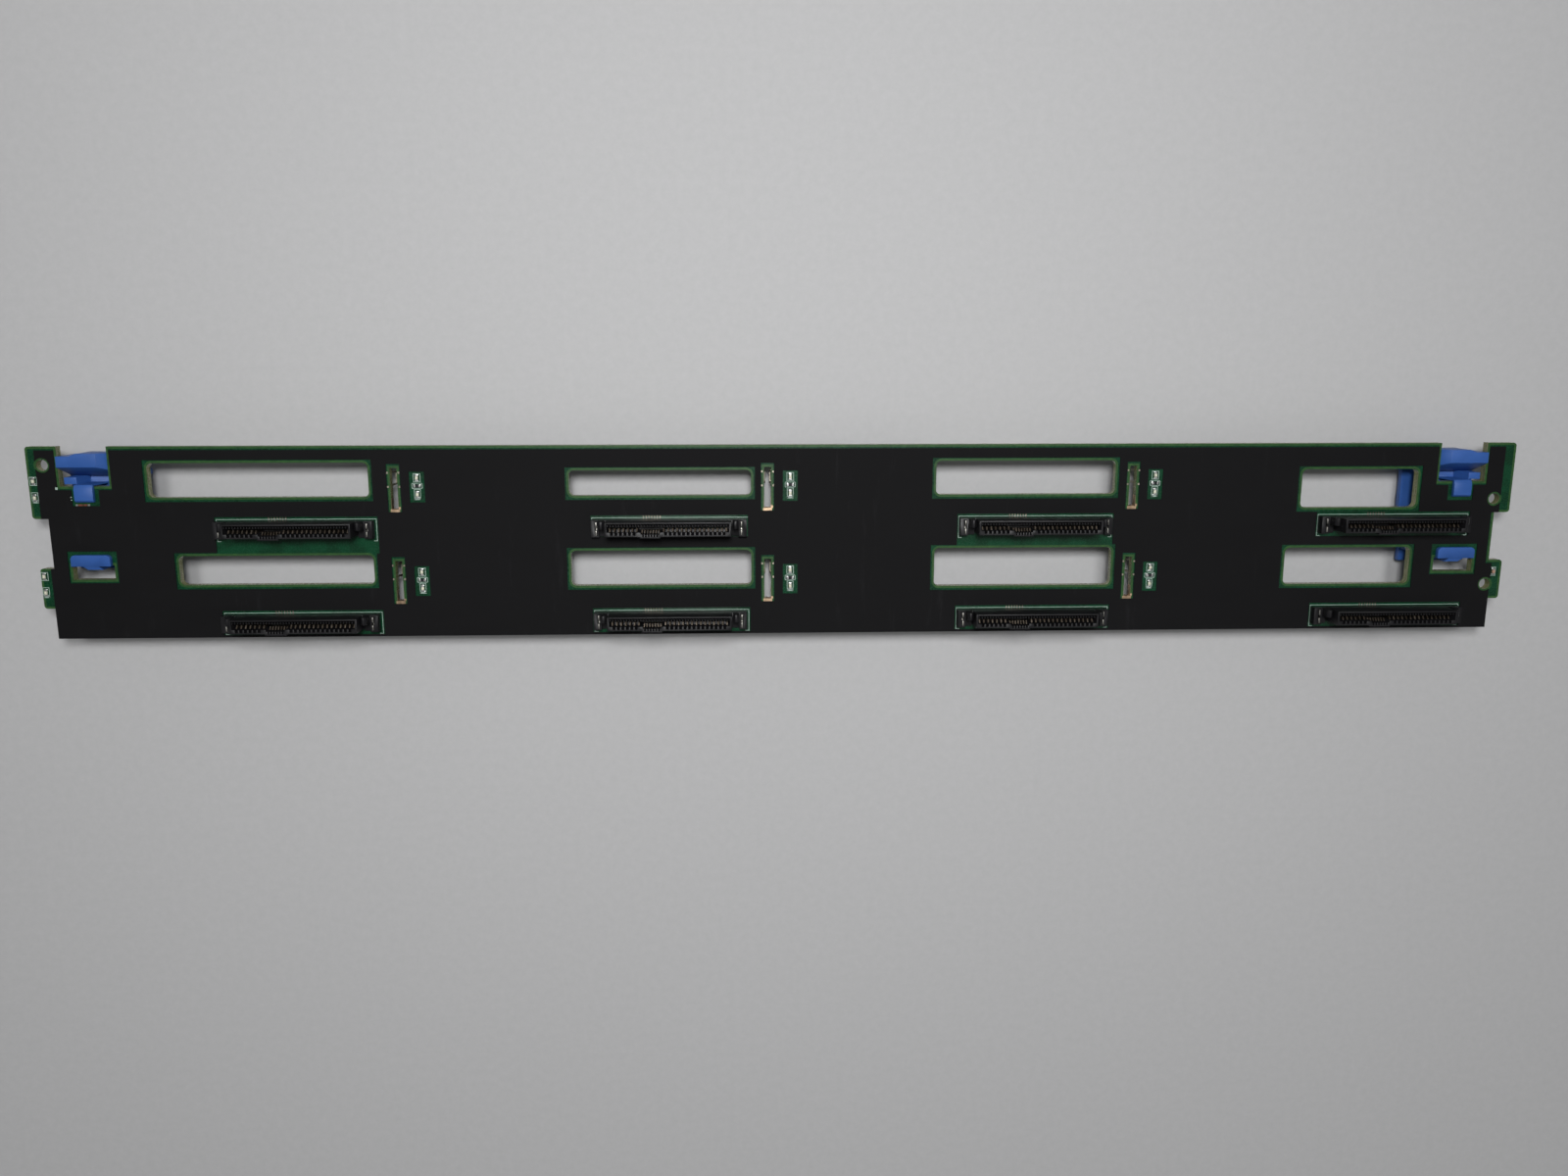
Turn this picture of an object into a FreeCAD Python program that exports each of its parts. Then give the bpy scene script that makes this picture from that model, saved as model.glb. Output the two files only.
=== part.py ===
import FreeCAD, Part
import os
import math
import Sketcher

# Drive side of a server drive backplane, lying on its back: eight bays in four columns and two rows.
# X runs along the board, Y from the lower edge to the notched edge, Z up through the front (drive) face.
# The origin is at the middle of the footprint, on the surface that the latch feet stand on.

SIZES = {
    # circuit board
    "board_width": 428.0,
    "board_height": 55.3,
    "board_thickness": 2.4,
    "rear_space": 10.6,
    "outer_corner": 0.9,
    "lower_ear_reach": 213.6,
    "middle_edge_reach": 209.5,
    "lower_edge_reach": 210.5,
    "upper_ear_bottom": 7.2,
    "lower_ear_top": -7.1,
    "lower_ear_bottom": -18.8,
    # notch and hook hole for each latch, both on the latch's centre line
    "latch_reach": 198.55,
    "notch_width": 13.8,
    "notch_bottom": 16.4,
    "hook_hole_width": 11.8,
    "hook_hole_bottom": -10.4,
    "hook_hole_top": -6.2,
    # tooling holes
    "tooling_hole_radius": 1.6,
    "left_hole_x": -209.7,
    "left_hole_y": 22.4,
    "right_hole_x": 209.0,
    "right_upper_hole_y": 11.2,
    "right_lower_hole_y": -14.4,
    # bays
    "bays_offset": 19.5,
    "column_pitch": 106.5,
    "row_pitch": 27.3,
    "upper_socket_y": 4.43,
    "socket_offset": -0.4,
    # airflow windows: reach to the left and right of the column's middle, lower and upper edge
    "window_corner": 1.5,
    "window_1u_left": 40.75,
    "window_1u_right": 20.85,
    "window_1u_bottom": 13.1,
    "window_1u_top": 22.9,
    "window_1l_left": 34.25,
    "window_1l_right": 20.95,
    "window_1l_bottom": -12.2,
    "window_1l_top": -3.7,
    "window_2u_left": 28.95,
    "window_2u_right": 23.25,
    "window_2u_bottom": 13.2,
    "window_2u_top": 20.5,
    "window_2l_left": 29.05,
    "window_2l_right": 23.25,
    "window_2l_bottom": -13.1,
    "window_2l_top": -2.8,
    "window_3u_left": 29.65,
    "window_3u_right": 22.75,
    "window_3u_bottom": 13.1,
    "window_3u_top": 22.9,
    "window_3l_left": 29.65,
    "window_3l_right": 22.75,
    "window_3l_bottom": -13.9,
    "window_3l_top": -2.6,
    "window_4u_left": 28.35,
    "window_4u_right": 6.25,
    "window_4u_bottom": 8.8,
    "window_4u_top": 20.1,
    "window_4l_left": 31.75,
    "window_4l_right": 6.05,
    "window_4l_bottom": -14.1,
    "window_4l_top": -3.1,
    # divider slots, to the right of the first three columns, and the clip legs beside them
    "slot_offset": 28.0,
    "slot_width": 2.0,
    "slot_bottom": 9.5,
    "slot_top": 21.3,
    "slot_row_pitch": 26.8,
    "clip_y": 18.0,
    # insulating film
    "film_thickness": 0.25,
    "film_top": 26.6,
    "film_left_upper": 211.5,
    "film_right_upper": 210.8,
    "film_right_middle": 208.5,
    "film_right_lower": 210.4,
    "film_notch_gap": 0.65,
    "film_notch_below": 1.0,
    "film_window_side": 1.1,
    "film_window_below": 1.2,
    "film_window_above": 0.9,
    "film_slot_side": 0.9,
    "film_slot_below": 0.8,
    "film_slot_above": 1.2,
    "film_hole_gap": 0.5,
    "film_snap_width": 7.6,
    "film_snap_bottom": 10.85,
    "film_hook_side": 1.0,
    "film_hook_below": 1.0,
    "film_hook_above": 4.0,
    "film_lights_width": 4.3,
    "film_lights_bottom": 11.5,
    "film_lights_top": 20.3,
    # marking outline round each socket, which the film clears
    "outline_width": 45.3,
    "outline_height": 6.5,
    "outline_top": 2.72,
    "outline_offset": 0.25,
    "film_outline_gap": 0.35,
    "film_tight_gap": 0.35,
    # drive socket: moulded housing
    "socket_wing_reach": 22.3,
    "socket_wing_upper": 2.0,
    "socket_wing_lower": 2.9,
    "socket_wing_height": 3.0,
    "socket_base_lower": 2.35,
    "socket_base_height": 1.2,
    "shroud_reach": 17.85,
    "shroud_half_width": 2.025,
    "shroud_height": 8.5,
    "shroud_wall": 0.4,
    "shroud_end_wall": 0.55,
    "cavity_floor": 1.6,
    "rib_depth": 0.85,
    "bump_step": 0.45,
    "bump_wall": 0.25,
    "bump_rib_depth": 0.75,
    "fine_groove_width": 0.42,
    "groove_width": 0.82,
    "guide_post_inner": 18.25,
    "guide_post_width": 1.7,
    "guide_post_lower": 0.15,
    "guide_post_height": 6.5,
    "guide_post_taper": 0.6,
    "wing_pocket_reach": 20.0,
    "wing_pocket_floor": 1.0,
    # drive socket: contacts
    "contact_pitch": 1.27,
    "signal_count": 7,
    "power_count": 15,
    "signal_first": -16.55,
    "power_first": -1.29,
    "contact_width": 0.4,
    "contact_thickness": 0.3,
    "contact_nose": 0.6,
    "contact_height": 6.6,
    "fine_pitch": 0.8,
    "fine_count": 7,
    "fine_middle": -5.05,
    "fine_width": 0.3,
    "fine_height": 6.0,
    "fine_clearance": 0.1,
    "foot_thickness": 0.2,
    "foot_clearance": 0.12,
    # drive socket: hold-down clips
    "holdown_reach": 20.8,
    "holdown_thickness": 0.4,
    "holdown_upper": 1.5,
    "holdown_lower": 2.4,
    "holdown_height": 3.3,
    "holdown_gap_width": 0.9,
    "holdown_gap_depth": 1.5,
    "holdown_clearance": 0.12,
    # latch moulding
    "latch_clearance": 0.25,
    "plate_gap": 6.0,
    "plate_thickness": 2.0,
    "plate_inner_reach": 184.0,
    "plate_inner_lower_reach": 186.6,
    "plate_outer_reach": 206.6,
    "plate_top": 24.6,
    "plate_step": 8.0,
    "plate_bottom": -8.5,
    "lug_length": 1.0,
    "lug_bottom": 19.0,
    "lug_top": 20.6,
    "rib_thickness": 1.2,
    "rib_bottom": -5.0,
    "rib_top": 8.0,
    "foot_inner_reach": 189.0,
    "foot_outer_reach": 204.0,
    "foot_top": 22.0,
    "grip_height": 1.3,
    "grip_top": 25.7,
    "grip_face_bottom": 21.9,
    "grip_bottom": 19.0,
    "grip_slope_depth": 2.5,
    "grip_thickness": 1.2,
    "grip_step": 0.75,
    "grip_step_start": 1.2,
    "grip_step_end": 3.1,
    "grip_bevel": 2.3,
    "spine_half_width": 5.0,
    "spine_thickness": 2.0,
    "snap_width": 5.2,
    "snap_bottom": 12.0,
    "snap_arm_thickness": 1.35,
    "snap_height": 1.3,
    "snap_chamfer": 0.5,
    "catch_inner": 2.4,
    "catch_outer": 5.8,
    "catch_bottom": 17.0,
    "catch_top": 18.9,
    "catch_drop": 0.5,
    "hook_width": 11.0,
    "hook_rise": 3.1,
    "hook_height": 1.5,
    "hook_corner": 1.2,
    "stem_width": 4.4,
    "stem_thickness": 1.4,
    # ground clip at each divider slot
    "clip_leg_x": 1.6,
    "clip_leg_y": 2.0,
    "clip_leg_width": 0.5,
    "clip_leg_length": 0.6,
    "clip_leg_tip": 0.35,
    "clip_frame_side": 0.65,
    "clip_frame_end": 1.0,
    "clip_frame_thickness": 0.4,
    "clip_arm_depth": 3.8,
    "clip_arm_lean": 0.6,
    "clip_arm_half_length": 2.1,
    "clip_arm_strip": 0.6,
    # lights and small parts on the front
    "lights_offset": 34.55,
    "upper_light_y": 18.8,
    "lower_light_y": 14.0,
    "light_resistor_y": 16.5,
    "ear_lights_x": -212.6,
    "ear_upper_light_y": 18.2,
    "ear_lower_light_y": 13.5,
    "light_width": 0.8,
    "light_length": 1.6,
    "light_height": 0.6,
    "resistor_height": 0.45,
    "edge_capacitor_x": 211.15,
    "edge_capacitor_y": -10.6,
    # cable sockets on the back
    "cable_socket_x": -84.0,
    "cable_socket_upper_y": 8.5,
    "cable_socket_pitch": 20.0,
    "cable_socket_length": 26.0,
    "cable_socket_width": 8.8,
    "cable_socket_height": 10.2,
    "cable_shell_wall": 0.4,
    "cable_base_thickness": 1.5,
    "cable_tongue_length": 20.0,
    "cable_tongue_thickness": 1.2,
    "cable_tongue_height": 6.5,
    # power header on the back
    "power_header_x": 23.0,
    "power_header_y": 4.5,
    "power_header_pitch": 4.2,
    "power_header_columns": 5,
    "power_header_rows": 2,
    "power_header_border": 0.9,
    "power_header_wall": 0.9,
    "power_header_height": 10.0,
    "power_cavity_depth": 8.6,
    "power_pin": 1.0,
    "power_pin_length": 6.2,
    "power_latch_width": 5.0,
    "power_latch_depth": 1.4,
    "power_latch_height": 4.5,
    # signal header on the back
    "signal_header_x": 23.0,
    "signal_header_y": -12.5,
    "signal_header_pitch": 2.0,
    "signal_header_columns": 6,
    "signal_header_length": 15.0,
    "signal_header_width": 6.4,
    "signal_header_height": 7.0,
    "signal_header_wall": 0.7,
    "signal_header_floor": 1.6,
    "signal_key_width": 3.0,
    "signal_pin": 0.5,
    "signal_pin_length": 4.6,
    # controller chip, coils and capacitors on the back
    "chip_x": 127.0,
    "chip_y": 7.0,
    "chip_size": 12.0,
    "chip_thickness": 1.4,
    "chip_standoff": 0.1,
    "lead_count": 8,
    "lead_pitch": 1.27,
    "lead_width": 0.4,
    "lead_length": 1.2,
    "lead_height": 0.8,
    "coil_x": 116.5,
    "coil_y": -9.5,
    "coil_pitch": 11.0,
    "coil_count": 2,
    "coil_size": 8.0,
    "coil_height": 4.0,
    "can_x": 11.0,
    "can_y": -21.5,
    "can_pitch": 12.0,
    "can_count": 3,
    "can_radius": 3.15,
    "can_height": 5.8,
    "can_base": 6.6,
    "can_base_height": 0.9,
    "ceramic_x": 117.0,
    "ceramic_y": -2.8,
    "ceramic_pitch": 2.8,
    "ceramic_count": 8,
    "ceramic_width": 1.25,
    "ceramic_length": 2.0,
    "ceramic_height": 1.0,
    "crystal_x": 139.5,
    "crystal_y": 7.0,
    "crystal_length": 5.0,
    "crystal_width": 3.2,
    "crystal_height": 1.1,
}

COLUMNS = (1, 2, 3, 4)
ROWS = ("upper", "lower")


# A length that carries both its number and the sheet expression that it comes from, so that a sketch can
# be drawn near its final shape and then be bound to the sheet.
class Size:
    def __init__(self, number, text):
        self.number = number
        self.text = text

    def __add__(self, other):
        other = as_size(other)
        return Size(self.number + other.number, f"({self.text} + {other.text})")

    def __sub__(self, other):
        other = as_size(other)
        return Size(self.number - other.number, f"({self.text} - {other.text})")

    def __mul__(self, other):
        other = as_size(other)
        return Size(self.number * other.number, f"({self.text} * {other.text})")

    def __truediv__(self, other):
        other = as_size(other)
        return Size(self.number / other.number, f"({self.text} / {other.text})")

    def __neg__(self):
        return as_size(0) - self


def as_size(value):
    if isinstance(value, Size):
        return value
    return Size(float(value), f"({value})")


# Reads a named cell, as in s.board_width or s["board_width"].
class SheetSizes:
    def __getattr__(self, name):
        return Size(float(SIZES[name]), f"Sizes.{name}")

    def __getitem__(self, name):
        return getattr(self, name)


s = SheetSizes()
doc = FreeCAD.newDocument("DriveBackplane")
sheet = doc.addObject("Spreadsheet::Sheet", "Sizes")
for row, (name, value) in enumerate(SIZES.items(), start=1):
    sheet.set(f"A{row}", name)
    sheet.set(f"B{row}", str(value))
    sheet.setAlias(f"B{row}", name)
doc.recompute()

nodes = []


# ---- binding and sketching helpers ----

def bind(feature, field, size):
    feature.setExpression(field, as_size(size).text)


def place(feature, x, y, z):
    for axis, size in (("x", x), ("y", y), ("z", z)):
        bind(feature, f"Placement.Base.{axis}", size)


def keep(feature):
    nodes.append(feature)
    return feature


def new_body(name):
    body = doc.addObject("PartDesign::Body", name)
    body.Label = name
    return body


def new_sketch(body, name, role="XY_Plane", lift=0):
    sketch = body.newObject("Sketcher::SketchObject", name)
    plane = next(item for item in body.Origin.OriginFeatures if item.Role == role)
    sketch.AttachmentSupport = [(plane, "")]
    sketch.MapMode = "FlatFace"
    bind(sketch, "AttachmentOffset.Base.z", lift)
    return sketch


def vector(x, y):
    return FreeCAD.Vector(x, y, 0)


# A sketch's constraints, gathered and then added together, each with the size that it is bound to, if any.
class Constraints:
    def __init__(self, sketch):
        self.sketch = sketch
        self.found = []

    def hold(self, kind, *places):
        self.found.append((Sketcher.Constraint(kind, *places), None))

    def measure(self, kind, *places_and_size):
        size = places_and_size[-1]
        constraint = Sketcher.Constraint(kind, *places_and_size[:-1], size.number)
        self.found.append((constraint, size))

    def locate(self, kind, geometry, point, size):
        self.measure(kind, -1, 1, geometry, point, size)

    def add(self):
        first = self.sketch.ConstraintCount
        self.sketch.addConstraint([constraint for constraint, size in self.found])
        for index, (constraint, size) in enumerate(self.found, start=first):
            if size is not None:
                bind(self.sketch, f"Constraints[{index}]", size)


# A closed outline whose sides are level or upright, walked corner by corner. A corner is (x, y) or
# (x, y, radius). Each side is held by one distance from the origin, so the sketch is fully constrained.
def add_outline(sketch, corners):
    count = len(corners)
    points = [(as_size(c[0]), as_size(c[1])) for c in corners]
    radii = [as_size(c[2]) if len(c) > 2 else as_size(0) for c in corners]
    spots = [vector(x.number, y.number) for x, y in points]
    along = []
    for i in range(count):
        step = spots[(i + 1) % count] - spots[i]
        along.append(step.normalize())
    rules = Constraints(sketch)
    sides = []
    for i in range(count):
        start = spots[i] + along[i] * radii[i].number
        after = (i + 1) % count
        end = spots[after] - along[i] * radii[after].number
        sides.append(sketch.addGeometry(Part.LineSegment(start, end), False))
        if abs(along[i].x) > abs(along[i].y):
            rules.hold("Horizontal", sides[i])
            rules.locate("DistanceY", sides[i], 1, points[i][1])
        else:
            rules.hold("Vertical", sides[i])
            rules.locate("DistanceX", sides[i], 1, points[i][0])
    for i in range(count):
        before = sides[i - 1]
        radius = radii[i]
        if radius.number == 0:
            rules.hold("Coincident", before, 2, sides[i], 1)
            continue
        inward = along[i] - along[i - 1]
        centre = spots[i] + inward * radius.number
        turn = along[i - 1].x * along[i].y - along[i - 1].y * along[i].x
        first = spots[i] - along[i - 1] * radius.number
        last = spots[i] + along[i] * radius.number
        if turn < 0:
            first, last = last, first
        circle = Part.Circle(centre, FreeCAD.Vector(0, 0, 1), radius.number)
        start = math.atan2(first.y - centre.y, first.x - centre.x)
        end = math.atan2(last.y - centre.y, last.x - centre.x)
        arc = sketch.addGeometry(Part.ArcOfCircle(circle, start, end), False)
        entry, leave = (1, 2) if turn > 0 else (2, 1)
        rules.hold("Tangent", before, 2, arc, entry)
        rules.hold("Tangent", arc, leave, sides[i], 1)
        rules.measure("Radius", arc, radius)
    rules.add()


def add_rectangle(sketch, left, right, bottom, top, radius=0):
    corner = (radius,) if radius else ()
    add_outline(sketch, [
        (left, bottom) + corner,
        (right, bottom) + corner,
        (right, top) + corner,
        (left, top) + corner,
    ])


# A closed outline with slanted sides: every point is held by its two distances from the origin.
def add_profile(sketch, corners):
    count = len(corners)
    points = [(as_size(x), as_size(y)) for x, y in corners]
    for i in range(count):
        start = vector(points[i][0].number, points[i][1].number)
        after = points[(i + 1) % count]
        end = vector(after[0].number, after[1].number)
        sketch.addGeometry(Part.LineSegment(start, end), False)
    first = sketch.GeometryCount - count
    rules = Constraints(sketch)
    for i in range(count):
        after = first + (i + 1) % count
        rules.hold("Coincident", first + i, 2, after, 1)
        rules.locate("DistanceX", first + i, 1, points[i][0])
        rules.locate("DistanceY", first + i, 1, points[i][1])
    rules.add()


def add_circle(sketch, x, y, radius):
    x, y, radius = as_size(x), as_size(y), as_size(radius)
    circle = Part.Circle(vector(x.number, y.number), FreeCAD.Vector(0, 0, 1), radius.number)
    geometry = sketch.addGeometry(circle, False)
    rules = Constraints(sketch)
    rules.locate("DistanceX", geometry, 3, x)
    rules.locate("DistanceY", geometry, 3, y)
    rules.measure("Radius", geometry, radius)
    rules.add()


def pad(body, name, sketch, length, both_ways=False):
    feature = body.newObject("PartDesign::Pad", name)
    feature.Profile = sketch
    bind(feature, "Length", length)
    feature.Midplane = both_ways
    return feature


# Cuts from the sketch against its normal for a depth, or right through both ways, and proves that it cut.
def pocket(body, name, sketch, depth=None):
    doc.recompute()
    before = body.Shape.Volume
    feature = body.newObject("PartDesign::Pocket", name)
    feature.Profile = sketch
    if depth is None:
        feature.Type = "ThroughAll"
        feature.Midplane = True
    else:
        bind(feature, "Length", depth)
    doc.recompute()
    if not body.Shape.Volume < before - 1e-6:
        raise ValueError(f"{body.Label}: {name} cuts nothing")
    return feature


def row_of(body, name, feature, sketch, pitch, count):
    pattern = body.newObject("PartDesign::LinearPattern", name)
    pattern.Originals = [feature]
    pattern.Direction = (sketch, ["H_Axis"])
    bind(pattern, "Length", pitch * (count - 1))
    bind(pattern, "Occurrences", count)
    body.Tip = pattern
    return pattern


def clone(body, name, x, y, z):
    copy = doc.addObject("PartDesign::Body", name)
    copy.Label = name
    base = doc.addObject("PartDesign::FeatureBase", f"{name}_base")
    base.BaseFeature = body
    copy.Group = [base]
    copy.Tip = base
    place(copy, x, y, z)
    return copy


def box(name, x, y, z, length, width, height):
    part = doc.addObject("Part::Box", name)
    part.Label = name
    bind(part, "Length", length)
    bind(part, "Width", width)
    bind(part, "Height", height)
    place(part, x, y, z)
    return part


def group(name, parts):
    compound = doc.addObject("Part::Compound", name)
    compound.Label = name
    compound.Links = parts
    return compound


# ---- places shared by several pieces ----

REAR = s.rear_space
FRONT = s.rear_space + s.board_thickness
TOP_EDGE = s.board_height / 2


def column_x(column):
    return s.bays_offset + s.column_pitch * (column - 2.5)


def row_drop(row, pitch):
    return pitch if row == "lower" else as_size(0)


def socket_place(column, row):
    return column_x(column) + s.socket_offset, s.upper_socket_y - row_drop(row, s.row_pitch)


def bay_number(column, row):
    return column + (4 if row == "lower" else 0)


def window_edges(column, row):
    key = f"window_{column}{row[0]}_"
    left = column_x(column) - s[key + "left"]
    right = column_x(column) + s[key + "right"]
    return left, right, s[key + "bottom"], s[key + "top"]


def slot_places():
    for column in COLUMNS[:3]:
        for row in ROWS:
            yield column_x(column) + s.slot_offset, row_drop(row, s.slot_row_pitch)


def lights_x(column):
    return column_x(column) + s.lights_offset


# ---- circuit board ----

def board_outline():
    reach = s.board_width / 2
    corner = s.outer_corner
    notch_inner = s.latch_reach - s.notch_width / 2
    notch_outer = s.latch_reach + s.notch_width / 2
    right = [
        (s.lower_edge_reach, -TOP_EDGE, corner),
        (s.lower_edge_reach, s.lower_ear_bottom),
        (s.lower_ear_reach, s.lower_ear_bottom, corner),
        (s.lower_ear_reach, s.lower_ear_top, corner),
        (s.middle_edge_reach, s.lower_ear_top),
        (s.middle_edge_reach, s.upper_ear_bottom),
        (reach, s.upper_ear_bottom, corner),
        (reach, TOP_EDGE, corner),
        (notch_outer, TOP_EDGE),
        (notch_outer, s.notch_bottom),
        (notch_inner, s.notch_bottom),
        (notch_inner, TOP_EDGE),
    ]
    left = [(-corner[0],) + corner[1:] for corner in reversed(right)]
    return right + left


def make_board():
    body = new_body("circuit_board")
    outline = new_sketch(body, "board_outline", lift=REAR)
    add_outline(outline, board_outline())
    pad(body, "laminate", outline, s.board_thickness)
    windows = new_sketch(body, "airflow_windows", lift=FRONT)
    for column in COLUMNS:
        for row in ROWS:
            add_rectangle(windows, *window_edges(column, row), s.window_corner)
    pocket(body, "windows", windows)
    slots = new_sketch(body, "divider_slots", lift=FRONT)
    legs = new_sketch(body, "clip_leg_holes", lift=FRONT)
    for x, drop in slot_places():
        half = s.slot_width / 2
        add_rectangle(slots, x - half, x + half, s.slot_bottom - drop, s.slot_top - drop)
        for leg_x in (x - s.clip_leg_x, x + s.clip_leg_x):
            for leg_y in (s.clip_y - drop - s.clip_leg_y, s.clip_y - drop + s.clip_leg_y):
                half_x = s.clip_leg_width / 2
                half_y = s.clip_leg_length / 2
                add_rectangle(legs, leg_x - half_x, leg_x + half_x, leg_y - half_y, leg_y + half_y)
    pocket(body, "slots", slots)
    pocket(body, "leg_holes", legs)
    holes = new_sketch(body, "latch_and_tooling_holes", lift=FRONT)
    for side in (-1, 1):
        middle = s.latch_reach * side
        half = s.hook_hole_width / 2
        add_rectangle(holes, middle - half, middle + half, s.hook_hole_bottom, s.hook_hole_top)
    for x, y in tooling_holes():
        add_circle(holes, x, y, s.tooling_hole_radius)
    pocket(body, "holes", holes)
    return keep(body)


def tooling_holes():
    return (
        (s.left_hole_x, s.left_hole_y),
        (s.right_hole_x, s.right_upper_hole_y),
        (s.right_hole_x, s.right_lower_hole_y),
    )


# ---- insulating film ----

def film_outline():
    notch_inner = s.latch_reach - s.notch_width / 2 - s.film_notch_gap
    notch_outer = s.latch_reach + s.notch_width / 2 + s.film_notch_gap
    notch_floor = s.notch_bottom - s.film_notch_below
    return [
        (s.film_right_lower, -TOP_EDGE),
        (s.film_right_lower, s.lower_ear_top - s.film_notch_below),
        (s.film_right_middle, s.lower_ear_top - s.film_notch_below),
        (s.film_right_middle, s.upper_ear_bottom),
        (s.film_right_upper, s.upper_ear_bottom),
        (s.film_right_upper, s.film_top),
        (notch_outer, s.film_top),
        (notch_outer, notch_floor),
        (notch_inner, notch_floor),
        (notch_inner, s.film_top),
        (-notch_inner, s.film_top),
        (-notch_inner, notch_floor),
        (-notch_outer, notch_floor),
        (-notch_outer, s.film_top),
        (-s.film_left_upper, s.film_top),
        (-s.film_left_upper, s.upper_ear_bottom),
        (-s.middle_edge_reach, s.upper_ear_bottom),
        (-s.middle_edge_reach, s.lower_ear_top),
        (-s.lower_edge_reach, s.lower_ear_top),
        (-s.lower_edge_reach, -TOP_EDGE),
    ]


# The film clears each socket's marking outline. At bays 1 and 3 the cut-out runs on down to the window
# below, and at bay 2 it is tight round the moulding.
def film_socket_cut(column, row):
    x, y = socket_place(column, row)
    middle = x + s.outline_offset
    half = s.outline_width / 2 + s.film_outline_gap
    top = y + s.outline_top + s.film_outline_gap
    bottom = y + s.outline_top - s.outline_height - s.film_outline_gap
    if row == "upper" and column == 2:
        half = s.socket_wing_reach + s.film_tight_gap
        return x - half, x + half, y - s.socket_wing_lower - s.film_tight_gap, top
    if row == "upper" and column in (1, 3):
        bottom = s[f"window_{column}l_top"] + s.film_window_above / 2
    return middle - half, middle + half, bottom, top


def make_film():
    body = new_body("insulator_film")
    outline = new_sketch(body, "film_outline", lift=FRONT)
    add_outline(outline, film_outline())
    pad(body, "sheet", outline, s.film_thickness)
    top = FRONT + s.film_thickness
    windows = new_sketch(body, "window_cuts", lift=top)
    sockets = new_sketch(body, "socket_cuts", lift=top)
    for column in COLUMNS:
        for row in ROWS:
            left, right, bottom, upper = window_edges(column, row)
            add_rectangle(windows, left - s.film_window_side, right + s.film_window_side,
                          bottom - s.film_window_below, upper + s.film_window_above)
            add_rectangle(sockets, *film_socket_cut(column, row))
    pocket(body, "windows", windows)
    pocket(body, "sockets", sockets)
    small = new_sketch(body, "slot_and_light_cuts", lift=top)
    for x, drop in slot_places():
        half = s.slot_width / 2 + s.film_slot_side
        add_rectangle(small, x - half, x + half, s.slot_bottom - drop - s.film_slot_below,
                      s.slot_top - drop + s.film_slot_above)
    for column in COLUMNS[:3]:
        for row in ROWS:
            drop = row_drop(row, s.row_pitch)
            half = s.film_lights_width / 2
            x = lights_x(column)
            add_rectangle(small, x - half, x + half, s.film_lights_bottom - drop, s.film_lights_top - drop)
    pocket(body, "slots_and_lights", small)
    hooks = new_sketch(body, "hook_cuts", lift=top)
    for side in (-1, 1):
        middle = s.latch_reach * side
        half = s.hook_hole_width / 2 + s.film_hook_side
        add_rectangle(hooks, middle - half, middle + half, s.hook_hole_bottom - s.film_hook_below,
                      s.hook_hole_top + s.film_hook_above)
        half = s.film_snap_width / 2
        add_rectangle(hooks, middle - half, middle + half, s.film_snap_bottom, s.notch_bottom)
    pocket(body, "hooks", hooks)
    rings = new_sketch(body, "hole_cuts", lift=top)
    for x, y in tooling_holes():
        add_circle(rings, x, y, s.tooling_hole_radius + s.film_hole_gap)
    pocket(body, "rings", rings)
    return keep(body)


# ---- drive socket ----
# Modelled about the middle of its shroud, standing on Z = 0. The drive's blade enters from above. The
# lower long wall carries ribs between the wide contacts, and a bump holds the fine contacts.

def rib_face():
    return -s.shroud_half_width + s.shroud_wall + s.rib_depth


def bump_face():
    return bump_root() + s.bump_rib_depth


def bump_root():
    return -s.shroud_half_width - s.bump_step + s.shroud_wall


# Half the length of the row of fine contacts.
def fine_half():
    return s.fine_pitch * (s.fine_count - 1) / 2 + s.fine_width / 2


# The fine contacts' feet end just short of the film.
def foot_end():
    return s.outline_top + s.film_outline_gap - s.foot_clearance


def make_housing():
    body = new_body("drive_socket_1")
    base = new_sketch(body, "base_outline")
    add_rectangle(base, -s.guide_post_inner, s.guide_post_inner, -s.socket_base_lower, s.socket_wing_upper)
    pad(body, "base", base, s.socket_base_height)
    wings = new_sketch(body, "wing_outlines")
    for side in (-1, 1):
        inner = s.shroud_reach * side
        outer = s.socket_wing_reach * side
        left, right = (outer, inner) if side < 0 else (inner, outer)
        add_rectangle(wings, left, right, -s.socket_wing_lower, s.socket_wing_upper)
    pad(body, "wings", wings, s.socket_wing_height)
    shroud = new_sketch(body, "shroud_outline")
    bump = fine_half() + s.fine_clearance + s.bump_wall
    bump_left = s.fine_middle - bump
    bump_right = s.fine_middle + bump
    lower = -s.shroud_half_width
    add_outline(shroud, [
        (-s.shroud_reach, lower),
        (bump_left, lower),
        (bump_left, lower - s.bump_step),
        (bump_right, lower - s.bump_step),
        (bump_right, lower),
        (s.shroud_reach, lower),
        (s.shroud_reach, s.shroud_half_width),
        (-s.shroud_reach, s.shroud_half_width),
    ])
    pad(body, "shroud", shroud, s.shroud_height)
    add_guide_posts(body)
    cut_cavity(body)
    cut_wings(body)
    return body


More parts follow.
